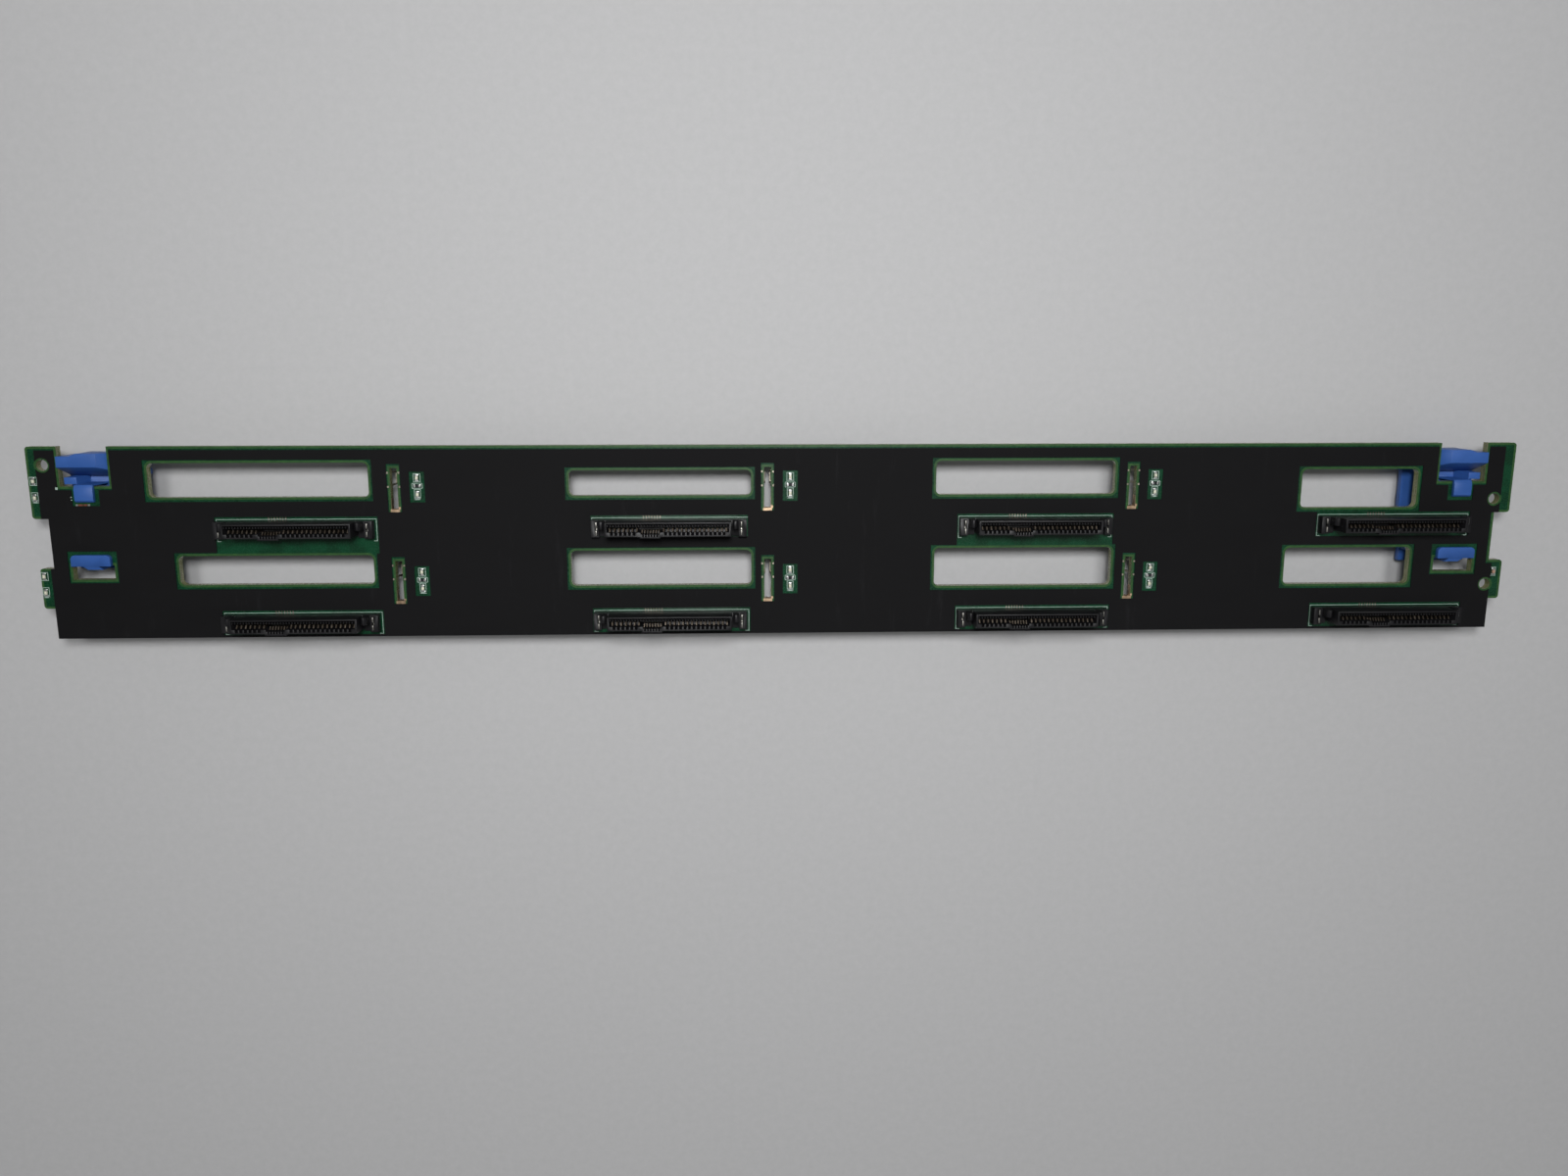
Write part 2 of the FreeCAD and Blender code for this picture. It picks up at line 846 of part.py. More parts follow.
# Two posts beside the shroud that centre the drive, with a taper all round their tops.
def add_guide_posts(body):
    for side, word in ((-1, "left"), (1, "right")):
        inner = s.guide_post_inner * side
        outer = (s.guide_post_inner + s.guide_post_width) * side
        left, right = (outer, inner) if side < 0 else (inner, outer)
        front = new_sketch(body, f"{word}_post_profile", "XZ_Plane", -s.socket_wing_upper)
        taper = s.guide_post_taper
        shoulder = s.guide_post_height - taper
        add_profile(front, [
            (left, s.socket_wing_height - 0.5),
            (right, s.socket_wing_height - 0.5),
            (right, shoulder),
            (right - taper, s.guide_post_height),
            (left + taper, s.guide_post_height),
            (left, shoulder),
        ])
        pad(body, f"{word}_post", front, s.socket_wing_upper + s.guide_post_lower)


def cut_cavity(body):
    depth = s.shroud_height - s.cavity_floor
    inner = s.shroud_reach - s.shroud_end_wall
    bump = fine_half() + s.fine_clearance
    upper = s.shroud_half_width - s.shroud_wall
    cavity = new_sketch(body, "cavity_outline", lift=s.shroud_height)
    add_outline(cavity, [
        (-inner, rib_face()),
        (s.fine_middle - bump, rib_face()),
        (s.fine_middle - bump, bump_face()),
        (s.fine_middle + bump, bump_face()),
        (s.fine_middle + bump, rib_face()),
        (inner, rib_face()),
        (inner, upper),
        (-inner, upper),
    ])
    pocket(body, "cavity", cavity, depth)
    root = -s.shroud_half_width + s.shroud_wall
    for word, first, count in (
        ("signal", s.signal_first, s.signal_count),
        ("power", s.power_first, s.power_count),
    ):
        start = first + (s.contact_pitch - s.groove_width) / 2
        groove = new_sketch(body, f"{word}_groove", lift=s.shroud_height)
        add_rectangle(groove, start, start + s.groove_width, root, rib_face())
        first_cut = pocket(body, f"{word}_first_groove", groove, depth)
        row_of(body, f"{word}_grooves", first_cut, groove, s.contact_pitch, count - 1)
    start = s.fine_middle - s.fine_pitch * (s.fine_count - 1) / 2
    start = start + (s.fine_pitch - s.fine_groove_width) / 2
    groove = new_sketch(body, "fine_groove", lift=s.shroud_height)
    add_rectangle(groove, start, start + s.fine_groove_width, bump_root(), bump_face())
    first_cut = pocket(body, "fine_first_groove", groove, depth)
    row_of(body, "fine_grooves", first_cut, groove, s.fine_pitch, s.fine_count - 1)
    cut_contact_openings(body)


# How far a contact of that height has leant out where it leaves the cavity's floor.
def contact_lean(height):
    return s.contact_nose * s.cavity_floor / (height - s.contact_nose)


# Openings in the floor through which the contacts reach the board, and the relief for the fine feet.
def cut_contact_openings(body):
    floor = new_sketch(body, "floor_openings", lift=s.cavity_floor)
    depth = s.contact_thickness + contact_lean(s.contact_height)
    for first, count in ((s.signal_first, s.signal_count), (s.power_first, s.power_count)):
        last = first + s.contact_pitch * (count - 1)
        half = s.contact_width / 2
        add_rectangle(floor, first - half, last + half, rib_face(), rib_face() + depth)
    left = s.fine_middle - fine_half()
    right = s.fine_middle + fine_half()
    depth = s.contact_thickness + contact_lean(s.fine_height)
    add_rectangle(floor, left, right, bump_face(), bump_face() + depth)
    pocket(body, "floor_slots", floor, s.cavity_floor)
    relief = new_sketch(body, "foot_relief", lift=s.foot_thickness)
    add_rectangle(relief, left, right, bump_face(), foot_end())
    pocket(body, "foot_recess", relief, s.foot_thickness)


def cut_wings(body):
    pockets = new_sketch(body, "wing_pockets", lift=s.socket_wing_height)
    slots = new_sketch(body, "holdown_slots", lift=s.socket_wing_height)
    gap = s.holdown_clearance
    half = s.holdown_thickness / 2 + gap
    for side in (-1, 1):
        inner = s.shroud_reach * side
        outer = s.wing_pocket_reach * side
        left, right = (outer, inner) if side < 0 else (inner, outer)
        add_rectangle(pockets, left, right, -s.socket_wing_lower, -s.guide_post_lower)
        middle = s.holdown_reach * side
        add_rectangle(slots, middle - half, middle + half, -s.holdown_lower - gap, s.holdown_upper + gap)
    pocket(body, "post_pockets", pockets, s.socket_wing_height - s.wing_pocket_floor)
    pocket(body, "holdown_slots_cut", slots, s.socket_wing_height)


# Spring contacts: each rises along the rib face and leans out to a nose that meets the blade. Each fine one
# also has a foot that runs under the housing to its solder pad.
def make_contacts():
    body = new_body("socket_contacts_1")
    back = rib_face()
    front = back + s.contact_thickness
    for word, first, count in (
        ("signal", s.signal_first, s.signal_count),
        ("power", s.power_first, s.power_count),
    ):
        profile = new_sketch(body, f"{word}_contact_profile", "YZ_Plane", first - s.contact_width / 2)
        add_profile(profile, [
            (back, 0),
            (front, 0),
            (front + s.contact_nose, s.contact_height - s.contact_nose),
            (back, s.contact_height),
        ])
        strip = pad(body, f"{word}_contact", profile, s.contact_width)
        row_along_x(body, f"{word}_contacts", strip, s.contact_pitch, count)
    back = bump_face()
    front = back + s.contact_thickness
    start = s.fine_middle - s.fine_pitch * (s.fine_count - 1) / 2 - s.fine_width / 2
    profile = new_sketch(body, "fine_contact_profile", "YZ_Plane", start)
    add_profile(profile, [
        (back, 0),
        (foot_end(), 0),
        (foot_end(), s.foot_thickness),
        (front, s.foot_thickness),
        (front + s.contact_nose, s.fine_height - s.contact_nose),
        (back, s.fine_height),
    ])
    strip = pad(body, "fine_contact", profile, s.fine_width)
    row_along_x(body, "fine_contacts", strip, s.fine_pitch, s.fine_count)
    return body


# The profile's own normal is the long axis of the socket, so the row runs along that.
def row_along_x(body, name, feature, pitch, count):
    pattern = body.newObject("PartDesign::LinearPattern", name)
    pattern.Originals = [feature]
    pattern.Direction = (feature.Profile[0], ["N_Axis"])
    bind(pattern, "Length", pitch * (count - 1))
    bind(pattern, "Occurrences", count)
    body.Tip = pattern
    return pattern


# Two hold-down clips per socket: upright plates soldered to the board, standing in the wing slots.
def make_holdowns():
    body = new_body("socket_holdowns_1")
    upper = s.holdown_upper
    lower = -s.holdown_lower
    middle = (upper + lower) / 2
    half = s.holdown_gap_width / 2
    for side, word in ((-1, "left"), (1, "right")):
        start = s.holdown_reach * side - s.holdown_thickness / 2
        profile = new_sketch(body, f"{word}_clip_profile", "YZ_Plane", start)
        add_outline(profile, [
            (lower, 0),
            (upper, 0),
            (upper, s.holdown_height),
            (middle + half, s.holdown_height),
            (middle + half, s.holdown_height - s.holdown_gap_depth),
            (middle - half, s.holdown_height - s.holdown_gap_depth),
            (middle - half, s.holdown_height),
            (lower, s.holdown_height),
        ])
        pad(body, f"{word}_clip", profile, s.holdown_thickness)
    return body


def make_sockets():
    for body, name in (
        (make_housing(), "drive_socket"),
        (make_contacts(), "socket_contacts"),
        (make_holdowns(), "socket_holdowns"),
    ):
        for row in ROWS:
            for column in COLUMNS:
                x, y = socket_place(column, row)
                number = bay_number(column, row)
                if number == 1:
                    keep(body)
                    continue
                keep(clone(body, f"{name}_{number}", x, y, FRONT))
        place(body, *socket_place(1, "upper"), FRONT)


# ---- latches ----
# One moulding each, drawn for the right-hand end and mirrored by its side. It hooks over the board at the
# notch and through the hook hole, carries the board on two ribs, and stands on two feet.

def across(side, inner, outer):
    if side > 0:
        return inner, outer
    return -outer, -inner


def rectangle_across(sketch, side, inner, outer, bottom, top):
    left, right = across(side, inner, outer)
    add_rectangle(sketch, left, right, bottom, top)


def pad_across(body, name, side, inner, outer, corners):
    left, right = across(side, inner, outer)
    profile = new_sketch(body, f"{name}_profile", "YZ_Plane", left)
    add_profile(profile, corners)
    return pad(body, name, profile, right - left)


def make_latch(side, word):
    body = new_body(f"{word}_latch")
    plate_face = REAR - s.plate_gap
    plate_back = plate_face - s.plate_thickness
    centre = s.latch_reach
    plate = new_sketch(body, "plate_outline", lift=plate_back)
    outline = [
        (s.plate_inner_lower_reach, s.plate_bottom),
        (s.plate_outer_reach, s.plate_bottom),
        (s.plate_outer_reach, s.plate_top),
        (s.plate_inner_reach, s.plate_top),
        (s.plate_inner_reach, s.lug_top),
        (s.plate_inner_reach - s.lug_length, s.lug_top),
        (s.plate_inner_reach - s.lug_length, s.lug_bottom),
        (s.plate_inner_reach, s.lug_bottom),
        (s.plate_inner_reach, s.plate_step),
        (s.plate_inner_lower_reach, s.plate_step),
    ]
    add_outline(plate, [(x * side, y) for x, y in outline])
    pad(body, "plate", plate, s.plate_thickness)
    feet = new_sketch(body, "feet_outline")
    for start in (s.foot_inner_reach, s.foot_outer_reach):
        rectangle_across(feet, side, start, start + s.rib_thickness, s.plate_bottom, s.foot_top)
    pad(body, "feet", feet, plate_back)
    ribs = new_sketch(body, "rib_outlines", lift=plate_face)
    inner = s.plate_inner_lower_reach + 0.4
    outer = s.plate_outer_reach - s.rib_thickness
    for start in (inner, outer):
        rectangle_across(ribs, side, start, start + s.rib_thickness, s.rib_bottom, s.rib_top)
    pad(body, "board_ribs", ribs, s.plate_gap)
    add_grip(body, side, centre, plate_face)
    add_snap_hook(body, side, centre, plate_face)
    add_t_hook(body, side, centre, plate_face)
    return keep(body)


# The finger grip fills the notch: a flat face, a slanted underside towards the board, a step along its top
# edge on the outer half and a bevelled inner end. A spine behind it joins it to the plate.
def add_grip(body, side, centre, plate_face):
    half = s.notch_width / 2 - s.latch_clearance
    face = FRONT + s.grip_height
    slope_end = FRONT - s.grip_slope_depth
    underside = slope_end - s.grip_thickness
    pad_across(body, "grip", side, centre - half, centre + half, [
        (s.grip_top, underside),
        (s.grip_top, face),
        (s.grip_face_bottom, face),
        (s.grip_bottom, slope_end),
        (s.grip_bottom, underside),
    ])
    spine = new_sketch(body, "spine_outline", lift=plate_face)
    rectangle_across(spine, side, centre - s.spine_half_width, centre + s.spine_half_width,
                     s.plate_top - s.spine_thickness, s.plate_top)
    pad(body, "spine", spine, underside - plate_face)
    step = new_sketch(body, "grip_step_outline", lift=face)
    top = s.grip_top + 1
    outer = centre + half + 1
    corners = [
        (centre + s.grip_step_start, top),
        (centre + s.grip_step_start, s.grip_top),
        (centre + s.grip_step_end, s.grip_top - s.grip_step),
        (outer, s.grip_top - s.grip_step),
        (outer, top),
    ]
    add_profile(step, [(x * side, y) for x, y in corners])
    pocket(body, "grip_step", step, face - underside)
    bevel = new_sketch(body, "grip_bevel_profile", "XZ_Plane", -s.grip_top - 1)
    corners = [
        (centre - half - 1, face + 1),
        (centre - half - 1, face - s.grip_bevel - 1),
        (centre - half + s.grip_bevel + 1, face + 1),
    ]
    add_profile(bevel, [(x * side, z) for x, z in corners])
    pocket(body, "grip_bevel", bevel)


# The snap hook comes up through the notch, just clear of its lower edge, and lies on the board's face. The
# catch beside it stops the notch's floor from sliding back.
def add_snap_hook(body, side, centre, plate_face):
    half = s.snap_width / 2
    arm = s.notch_bottom + s.latch_clearance / 2
    arm_back = arm + s.snap_arm_thickness
    top = FRONT + s.snap_height
    pad_across(body, "snap_hook", side, centre - half, centre + half, [
        (s.snap_bottom, FRONT),
        (arm, FRONT),
        (arm, plate_face),
        (arm_back, plate_face),
        (arm_back, top - s.snap_chamfer),
        (arm_back - s.snap_chamfer, top),
        (s.snap_bottom + s.snap_chamfer, top),
        (s.snap_bottom, top - s.snap_chamfer),
    ])
    catch = new_sketch(body, "catch_outline", lift=plate_face)
    rectangle_across(catch, side, centre + s.catch_inner, centre + s.catch_outer, s.catch_bottom, s.catch_top)
    pad(body, "catch", catch, s.board_thickness + s.plate_gap - s.catch_drop)


def add_t_hook(body, side, centre, plate_face):
    stem_top = s.hook_hole_top - s.latch_clearance / 2
    half = s.stem_width / 2
    stem = new_sketch(body, "stem_outline", lift=plate_face)
    rectangle_across(stem, side, centre - half, centre + half, stem_top - s.stem_thickness, stem_top)
    pad(body, "stem", stem, s.plate_gap + s.board_thickness + s.hook_height)
    half = s.hook_width / 2
    head = new_sketch(body, "hook_head_outline", lift=FRONT)
    left, right = across(side, centre - half, centre + half)
    add_outline(head, [
        (left, stem_top),
        (right, stem_top),
        (right, s.hook_hole_top + s.hook_rise, s.hook_corner),
        (left, s.hook_hole_top + s.hook_rise, s.hook_corner),
    ])
    pad(body, "hook_head", head, s.hook_height)


# ---- ground clips ----
# Modelled about the slot's centre line, with Z = 0 on the board's rear face. A frame lies on that face,
# four legs pass through the board, and two open spring arms lean in below the slot.

def make_clips():
    body = new_body("ground_clip_1")
    outer_x = s.clip_leg_x + s.clip_frame_side
    outer_y = s.clip_leg_y + s.clip_frame_end
    inner_x = s.slot_width / 2 + s.clip_arm_lean / 4
    frame = new_sketch(body, "frame_outline", lift=-s.clip_frame_thickness)
    add_rectangle(frame, -outer_x, outer_x, -outer_y, outer_y)
    add_rectangle(frame, -inner_x, inner_x, -s.clip_leg_y, s.clip_leg_y)
    pad(body, "frame", frame, s.clip_frame_thickness)
    legs = new_sketch(body, "legs_outline")
    half_x = s.clip_leg_width / 2
    half_y = s.clip_leg_length / 2
    for x in (-s.clip_leg_x, s.clip_leg_x):
        for y in (-s.clip_leg_y, s.clip_leg_y):
            add_rectangle(legs, x - half_x, x + half_x, y - half_y, y + half_y)
    pad(body, "legs", legs, s.board_thickness + s.clip_leg_tip)
    for side, word in ((-1, "left"), (1, "right")):
        root = inner_x
        tip = root - s.clip_arm_lean
        strip = s.clip_frame_thickness
        depth = -s.clip_frame_thickness - s.clip_arm_depth
        arm = new_sketch(body, f"{word}_arm_profile", "XZ_Plane", -s.clip_arm_half_length)
        corners = [
            (root, -s.clip_frame_thickness),
            (root + strip, -s.clip_frame_thickness),
            (tip + strip, depth),
            (tip, depth),
        ]
        add_profile(arm, [(x * side, z) for x, z in corners])
        pad(body, f"{word}_arm", arm, s.clip_arm_half_length * 2)
    opening = new_sketch(body, "arm_opening", "YZ_Plane")
    half = s.clip_arm_half_length - s.clip_arm_strip
    add_rectangle(opening, -half, half, -s.clip_frame_thickness - s.clip_arm_depth + s.clip_arm_strip,
                  -s.clip_frame_thickness)
    pocket(body, "arm_openings", opening)
    for number, (x, drop) in enumerate(slot_places(), start=1):
        if number == 1:
            keep(body)
            continue
        keep(clone(body, f"ground_clip_{number}", x, s.clip_y - drop, REAR))
    x, drop = next(slot_places())
    place(body, x, s.clip_y - drop, REAR)


# ---- lights and small parts on the front ----

def make_lights():
    half_width = s.light_width / 2
    half_length = s.light_length / 2
    for word, ear_y, bay_y in (
        ("activity_lights", s.ear_upper_light_y, s.upper_light_y),
        ("status_lights", s.ear_lower_light_y, s.lower_light_y),
    ):
        parts = []
        for row in ROWS:
            drop = row_drop(row, s.row_pitch)
            spots = [(s.ear_lights_x, ear_y)]
            spots += [(lights_x(column), bay_y) for column in COLUMNS[:3]]
            for x, y in spots:
                parts.append(box(f"{word}_{len(parts) + 1}", x - half_width, y - drop - half_length, FRONT,
                                 s.light_width, s.light_length, s.light_height))
        keep(group(word, parts))
    parts = []
    for row in ROWS:
        drop = row_drop(row, s.row_pitch)
        for column in COLUMNS[:3]:
            parts.append(box(f"light_resistor_{len(parts) + 1}", lights_x(column) - half_length,
                             s.light_resistor_y - drop - half_width, FRONT, s.light_length, s.light_width,
                             s.resistor_height))
    keep(group("light_resistors", parts))
    keep(box("edge_capacitor", s.edge_capacitor_x - half_width, s.edge_capacitor_y - half_length, FRONT,
             s.light_width, s.light_length, s.light_height))


# ---- parts on the back ----
# All hang from the rear face, so their sketches stand at that face and are padded downwards.

def pad_down(body, name, sketch, length):
    feature = pad(body, name, sketch, length)
    feature.Reversed = True
    return feature


def make_cable_sockets():
    for number, word in enumerate(("upper", "lower")):
        x = s.cable_socket_x
        y = s.cable_socket_upper_y - s.cable_socket_pitch * number
        half_x = s.cable_socket_length / 2
        half_y = s.cable_socket_width / 2
        wall = s.cable_shell_wall
        shell = new_body(f"{word}_cable_shell")
        outline = new_sketch(shell, "shell_outline", lift=REAR)
        add_rectangle(outline, x - half_x, x + half_x, y - half_y, y + half_y)
        add_rectangle(outline, x - half_x + wall, x + half_x - wall, y - half_y + wall, y + half_y - wall)
        pad_down(shell, "shell", outline, s.cable_socket_height)
        keep(shell)
        tongue = new_body(f"{word}_cable_tongue")
        base = new_sketch(tongue, "base_outline", lift=REAR)
        add_rectangle(base, x - half_x + wall, x + half_x - wall, y - half_y + wall, y + half_y - wall)
        pad_down(tongue, "base", base, s.cable_base_thickness)
        blade = new_sketch(tongue, "blade_outline", lift=REAR - s.cable_base_thickness)
        half_x = s.cable_tongue_length / 2
        half_y = s.cable_tongue_thickness / 2
        add_rectangle(blade, x - half_x, x + half_x, y - half_y, y + half_y)
        pad_down(tongue, "blade", blade, s.cable_tongue_height)
        keep(tongue)


def grid_spots(x, y, pitch, columns, rows):
    spots = []
    for i in range(int(columns.number)):
        for j in range(int(rows.number)):
            spots.append((x + pitch * (i - (columns.number - 1) / 2), y + pitch * (j - (rows.number - 1) / 2)))
    return spots


def make_power_header():
    x = s.power_header_x
    y = s.power_header_y
    pitch = s.power_header_pitch
    half_x = pitch * s.power_header_columns / 2 + s.power_header_border
    half_y = pitch * s.power_header_rows / 2 + s.power_header_border
    body = new_body("power_header")
    outline = new_sketch(body, "housing_outline", lift=REAR)
    add_rectangle(outline, x - half_x, x + half_x, y - half_y, y + half_y)
    pad_down(body, "housing", outline, s.power_header_height)
    latch = new_sketch(body, "latch_outline", lift=REAR - s.power_header_height + s.power_latch_height)
    half = s.power_latch_width / 2
    add_rectangle(latch, x - half, x + half, y + half_y - 0.2, y + half_y + s.power_latch_depth)
    pad_down(body, "latch_ramp", latch, s.power_latch_height)
    spots = grid_spots(x, y, pitch, s.power_header_columns, s.power_header_rows)
    cavities = new_sketch(body, "cavity_outlines", lift=REAR - s.power_header_height + s.power_cavity_depth)
    wall = s.power_header_wall
    for near in (y - half_y + wall, y + wall / 2):
        far = near + half_y - wall * 1.5
        add_rectangle(cavities, x - half_x + wall, x + half_x - wall, near, far)
    pocket(body, "cavities", cavities, s.power_cavity_depth)
    keep(body)
    pins = []
    half = s.power_pin / 2
    floor = REAR - s.power_header_height + s.power_cavity_depth
    for spot_x, spot_y in spots:
        pins.append(box(f"power_pin_{len(pins) + 1}", spot_x - half, spot_y - half,
                        floor - s.power_pin_length, s.power_pin, s.power_pin, s.power_pin_length))
    keep(group("power_pins", pins))


def make_signal_header():
    x = s.signal_header_x
    y = s.signal_header_y
    half_x = s.signal_header_length / 2
    half_y = s.signal_header_width / 2
    wall = s.signal_header_wall
    body = new_body("signal_header")
    outline = new_sketch(body, "housing_outline", lift=REAR)
    add_rectangle(outline, x - half_x, x + half_x, y - half_y, y + half_y)
    pad_down(body, "housing", outline, s.signal_header_height)
    cavity = new_sketch(body, "cavity_outline", lift=REAR - s.signal_header_floor)
    add_rectangle(cavity, x - half_x + wall, x + half_x - wall, y - half_y + wall, y + half_y - wall)
    pocket(body, "cavity", cavity, s.signal_header_height - s.signal_header_floor)
    key = new_sketch(body, "key_outline", lift=REAR - s.signal_header_floor)
    half = s.signal_key_width / 2
    add_rectangle(key, x - half, x + half, y - half_y - 1, y - half_y + wall)
    pocket(body, "key_slot", key, s.signal_header_height - s.signal_header_floor)
    keep(body)
    pins = []
    half = s.signal_pin / 2
    for spot_x, spot_y in grid_spots(x, y, s.signal_header_pitch, s.signal_header_columns, as_size(2)):
        pins.append(box(f"signal_pin_{len(pins) + 1}", spot_x - half, spot_y - half,
                        REAR - s.signal_header_floor - s.signal_pin_length, s.signal_pin, s.signal_pin,
                        s.signal_pin_length))
    keep(group("signal_pins", pins))


# The chip stands a little off the board on its leads: short stepped strips along all four sides.
def make_chip():
    half = s.chip_size / 2
    x = s.chip_x
    y = s.chip_y
    body = new_body("controller_chip")
    outline = new_sketch(body, "package_outline", lift=REAR - s.chip_standoff)
    add_rectangle(outline, x - half, x + half, y - half, y + half)
    pad_down(body, "package", outline, s.chip_thickness)
    keep(body)
    leads = []
    run = s.lead_pitch * (s.lead_count - 1)
    for i in range(int(s.lead_count.number)):
        offset = s.lead_pitch * i - run / 2 - s.lead_width / 2
        for side in (-1, 1):
            near = half * side if side > 0 else -half - s.lead_length
            low = REAR - s.lead_height
            leads.append(box(f"lead_{len(leads) + 1}", x + offset, y + near, low, s.lead_width,
                             s.lead_length, s.lead_height))
            leads.append(box(f"lead_{len(leads) + 1}", x + near, y + offset, low, s.lead_length,
                             s.lead_width, s.lead_height))
    keep(group("chip_leads", leads))


def make_coils_and_capacitors():
    coils = new_body("power_coils")
    outline = new_sketch(coils, "coil_outlines", lift=REAR)
    half = s.coil_size / 2
    for i in range(int(s.coil_count.number)):
        x = s.coil_x + s.coil_pitch * i
        add_rectangle(outline, x - half, x + half, s.coil_y - half, s.coil_y + half)
    pad_down(coils, "cores", outline, s.coil_height)
    keep(coils)
    cans = new_body("can_capacitors")
    bases = new_sketch(cans, "base_outlines", lift=REAR)
    tops = new_sketch(cans, "can_outlines", lift=REAR)
    half = s.can_base / 2
    for i in range(int(s.can_count.number)):
        x = s.can_x + s.can_pitch * i
        add_rectangle(bases, x - half, x + half, s.can_y - half, s.can_y + half)
        add_circle(tops, x, s.can_y, s.can_radius)
    pad_down(cans, "bases", bases, s.can_base_height)
    pad_down(cans, "cans", tops, s.can_height)
    keep(cans)
    ceramics = []
    for i in range(int(s.ceramic_count.number)):
        x = s.ceramic_x + s.ceramic_pitch * i
        ceramics.append(box(f"ceramic_{i + 1}", x - s.ceramic_width / 2, s.ceramic_y - s.ceramic_length / 2,
                            REAR - s.ceramic_height, s.ceramic_width, s.ceramic_length, s.ceramic_height))
    keep(group("ceramic_capacitors", ceramics))
    keep(box("crystal", s.crystal_x - s.crystal_length / 2, s.crystal_y - s.crystal_width / 2,
             REAR - s.crystal_height, s.crystal_length, s.crystal_width, s.crystal_height))


# ---- build, check and write ----

def check_model():
    doc.recompute()
    for feature in doc.Objects:
        for state in feature.State:
            if state in ("Invalid", "Error"):
                raise ValueError(f"{feature.Label} is {state}")
    for node in nodes:
        if node.Shape.isNull() or not node.Shape.isValid() or not node.Shape.Solids:
            raise ValueError(f"{node.Label} has no valid solid")


def write_parts():
    os.makedirs("parts", exist_ok=True)
    for node in nodes:
        node.Shape.exportStep(f"parts/{node.Label}.step")


make_board()
make_film()
make_sockets()
make_latch(-1, "left")
make_latch(1, "right")
make_clips()
make_lights()
make_cable_sockets()
make_power_header()
make_signal_header()
make_chip()
make_coils_and_capacitors()
check_model()
write_parts()
print(f"{len(nodes)} nodes written")
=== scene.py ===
import bpy
import math
from mathutils import Euler, Matrix, Vector


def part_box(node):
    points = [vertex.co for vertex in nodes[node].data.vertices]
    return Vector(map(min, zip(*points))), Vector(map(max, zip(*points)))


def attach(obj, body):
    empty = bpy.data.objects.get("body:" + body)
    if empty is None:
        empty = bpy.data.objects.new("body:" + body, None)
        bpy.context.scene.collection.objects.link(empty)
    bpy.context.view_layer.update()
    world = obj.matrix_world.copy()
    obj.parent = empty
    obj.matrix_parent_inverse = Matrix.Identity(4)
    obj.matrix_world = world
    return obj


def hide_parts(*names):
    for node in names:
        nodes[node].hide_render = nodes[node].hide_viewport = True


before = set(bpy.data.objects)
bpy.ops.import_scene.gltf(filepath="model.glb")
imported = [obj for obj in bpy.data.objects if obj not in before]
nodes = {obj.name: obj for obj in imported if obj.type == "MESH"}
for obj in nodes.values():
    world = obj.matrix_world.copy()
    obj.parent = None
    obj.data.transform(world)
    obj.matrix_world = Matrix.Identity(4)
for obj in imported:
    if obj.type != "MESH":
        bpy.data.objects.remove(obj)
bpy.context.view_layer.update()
mm = 0.001

# places that the pieces share
boardLow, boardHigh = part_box("circuit_board")
boardFront = boardHigh.z
boardRear = boardLow.z
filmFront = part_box("insulator_film")[1].z
socketNames = [f"drive_socket_{i}" for i in range(1, 9)]
clipNames = [f"ground_clip_{i}" for i in range(1, 7)]
shroudMiddle = 2.3 * mm  # from a socket's upper edge to the middle of its shroud


def socketPlace(name):  # middle of the shroud, on the board
    lowest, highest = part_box(name)
    return Vector(((lowest.x + highest.x) / 2, highest.y - shroudMiddle, boardFront))


# shared modelling steps
stepSizes = {
    "bevelFrom": math.radians(30),
    "smoothUnder": math.radians(35),
    "flatUnder": math.radians(1),
    "mergeReach": 0.004 * mm,
    "cornerSegments": 5,
}


def clearSelection():
    if bpy.context.object and bpy.context.object.mode != "OBJECT":
        bpy.ops.object.mode_set(mode="OBJECT")
    bpy.ops.object.select_all(action="DESELECT")


def makeActive(piece):
    clearSelection()
    piece.select_set(True)
    bpy.context.view_layer.objects.active = piece


def settle(piece):  # puts the place, turn and scale into the mesh
    makeActive(piece)
    bpy.ops.object.transform_apply(location=True, rotation=True, scale=True)
    return piece


def addBlock(name, x0, x1, y0, y1, z0, z1):
    clearSelection()
    bpy.ops.mesh.primitive_cube_add(size=1, location=((x0 + x1) / 2, (y0 + y1) / 2, (z0 + z1) / 2))
    piece = bpy.context.object
    piece.name = name
    piece.scale = (x1 - x0, y1 - y0, z1 - z0)
    return settle(piece)


def applyModifier(piece, kind, **values):
    makeActive(piece)
    modifier = piece.modifiers.new(kind.title(), kind)
    for key, value in values.items():
        setattr(modifier, key, value)
    bpy.ops.object.modifier_apply(modifier=modifier.name)
    return piece


def softenEdges(piece, width, segments=2):
    applyModifier(piece, "BEVEL", width=width, segments=segments, limit_method="ANGLE",
                  angle_limit=stepSizes["bevelFrom"])
    makeActive(piece)
    bpy.ops.object.shade_smooth_by_angle(angle=stepSizes["smoothUnder"])
    return piece


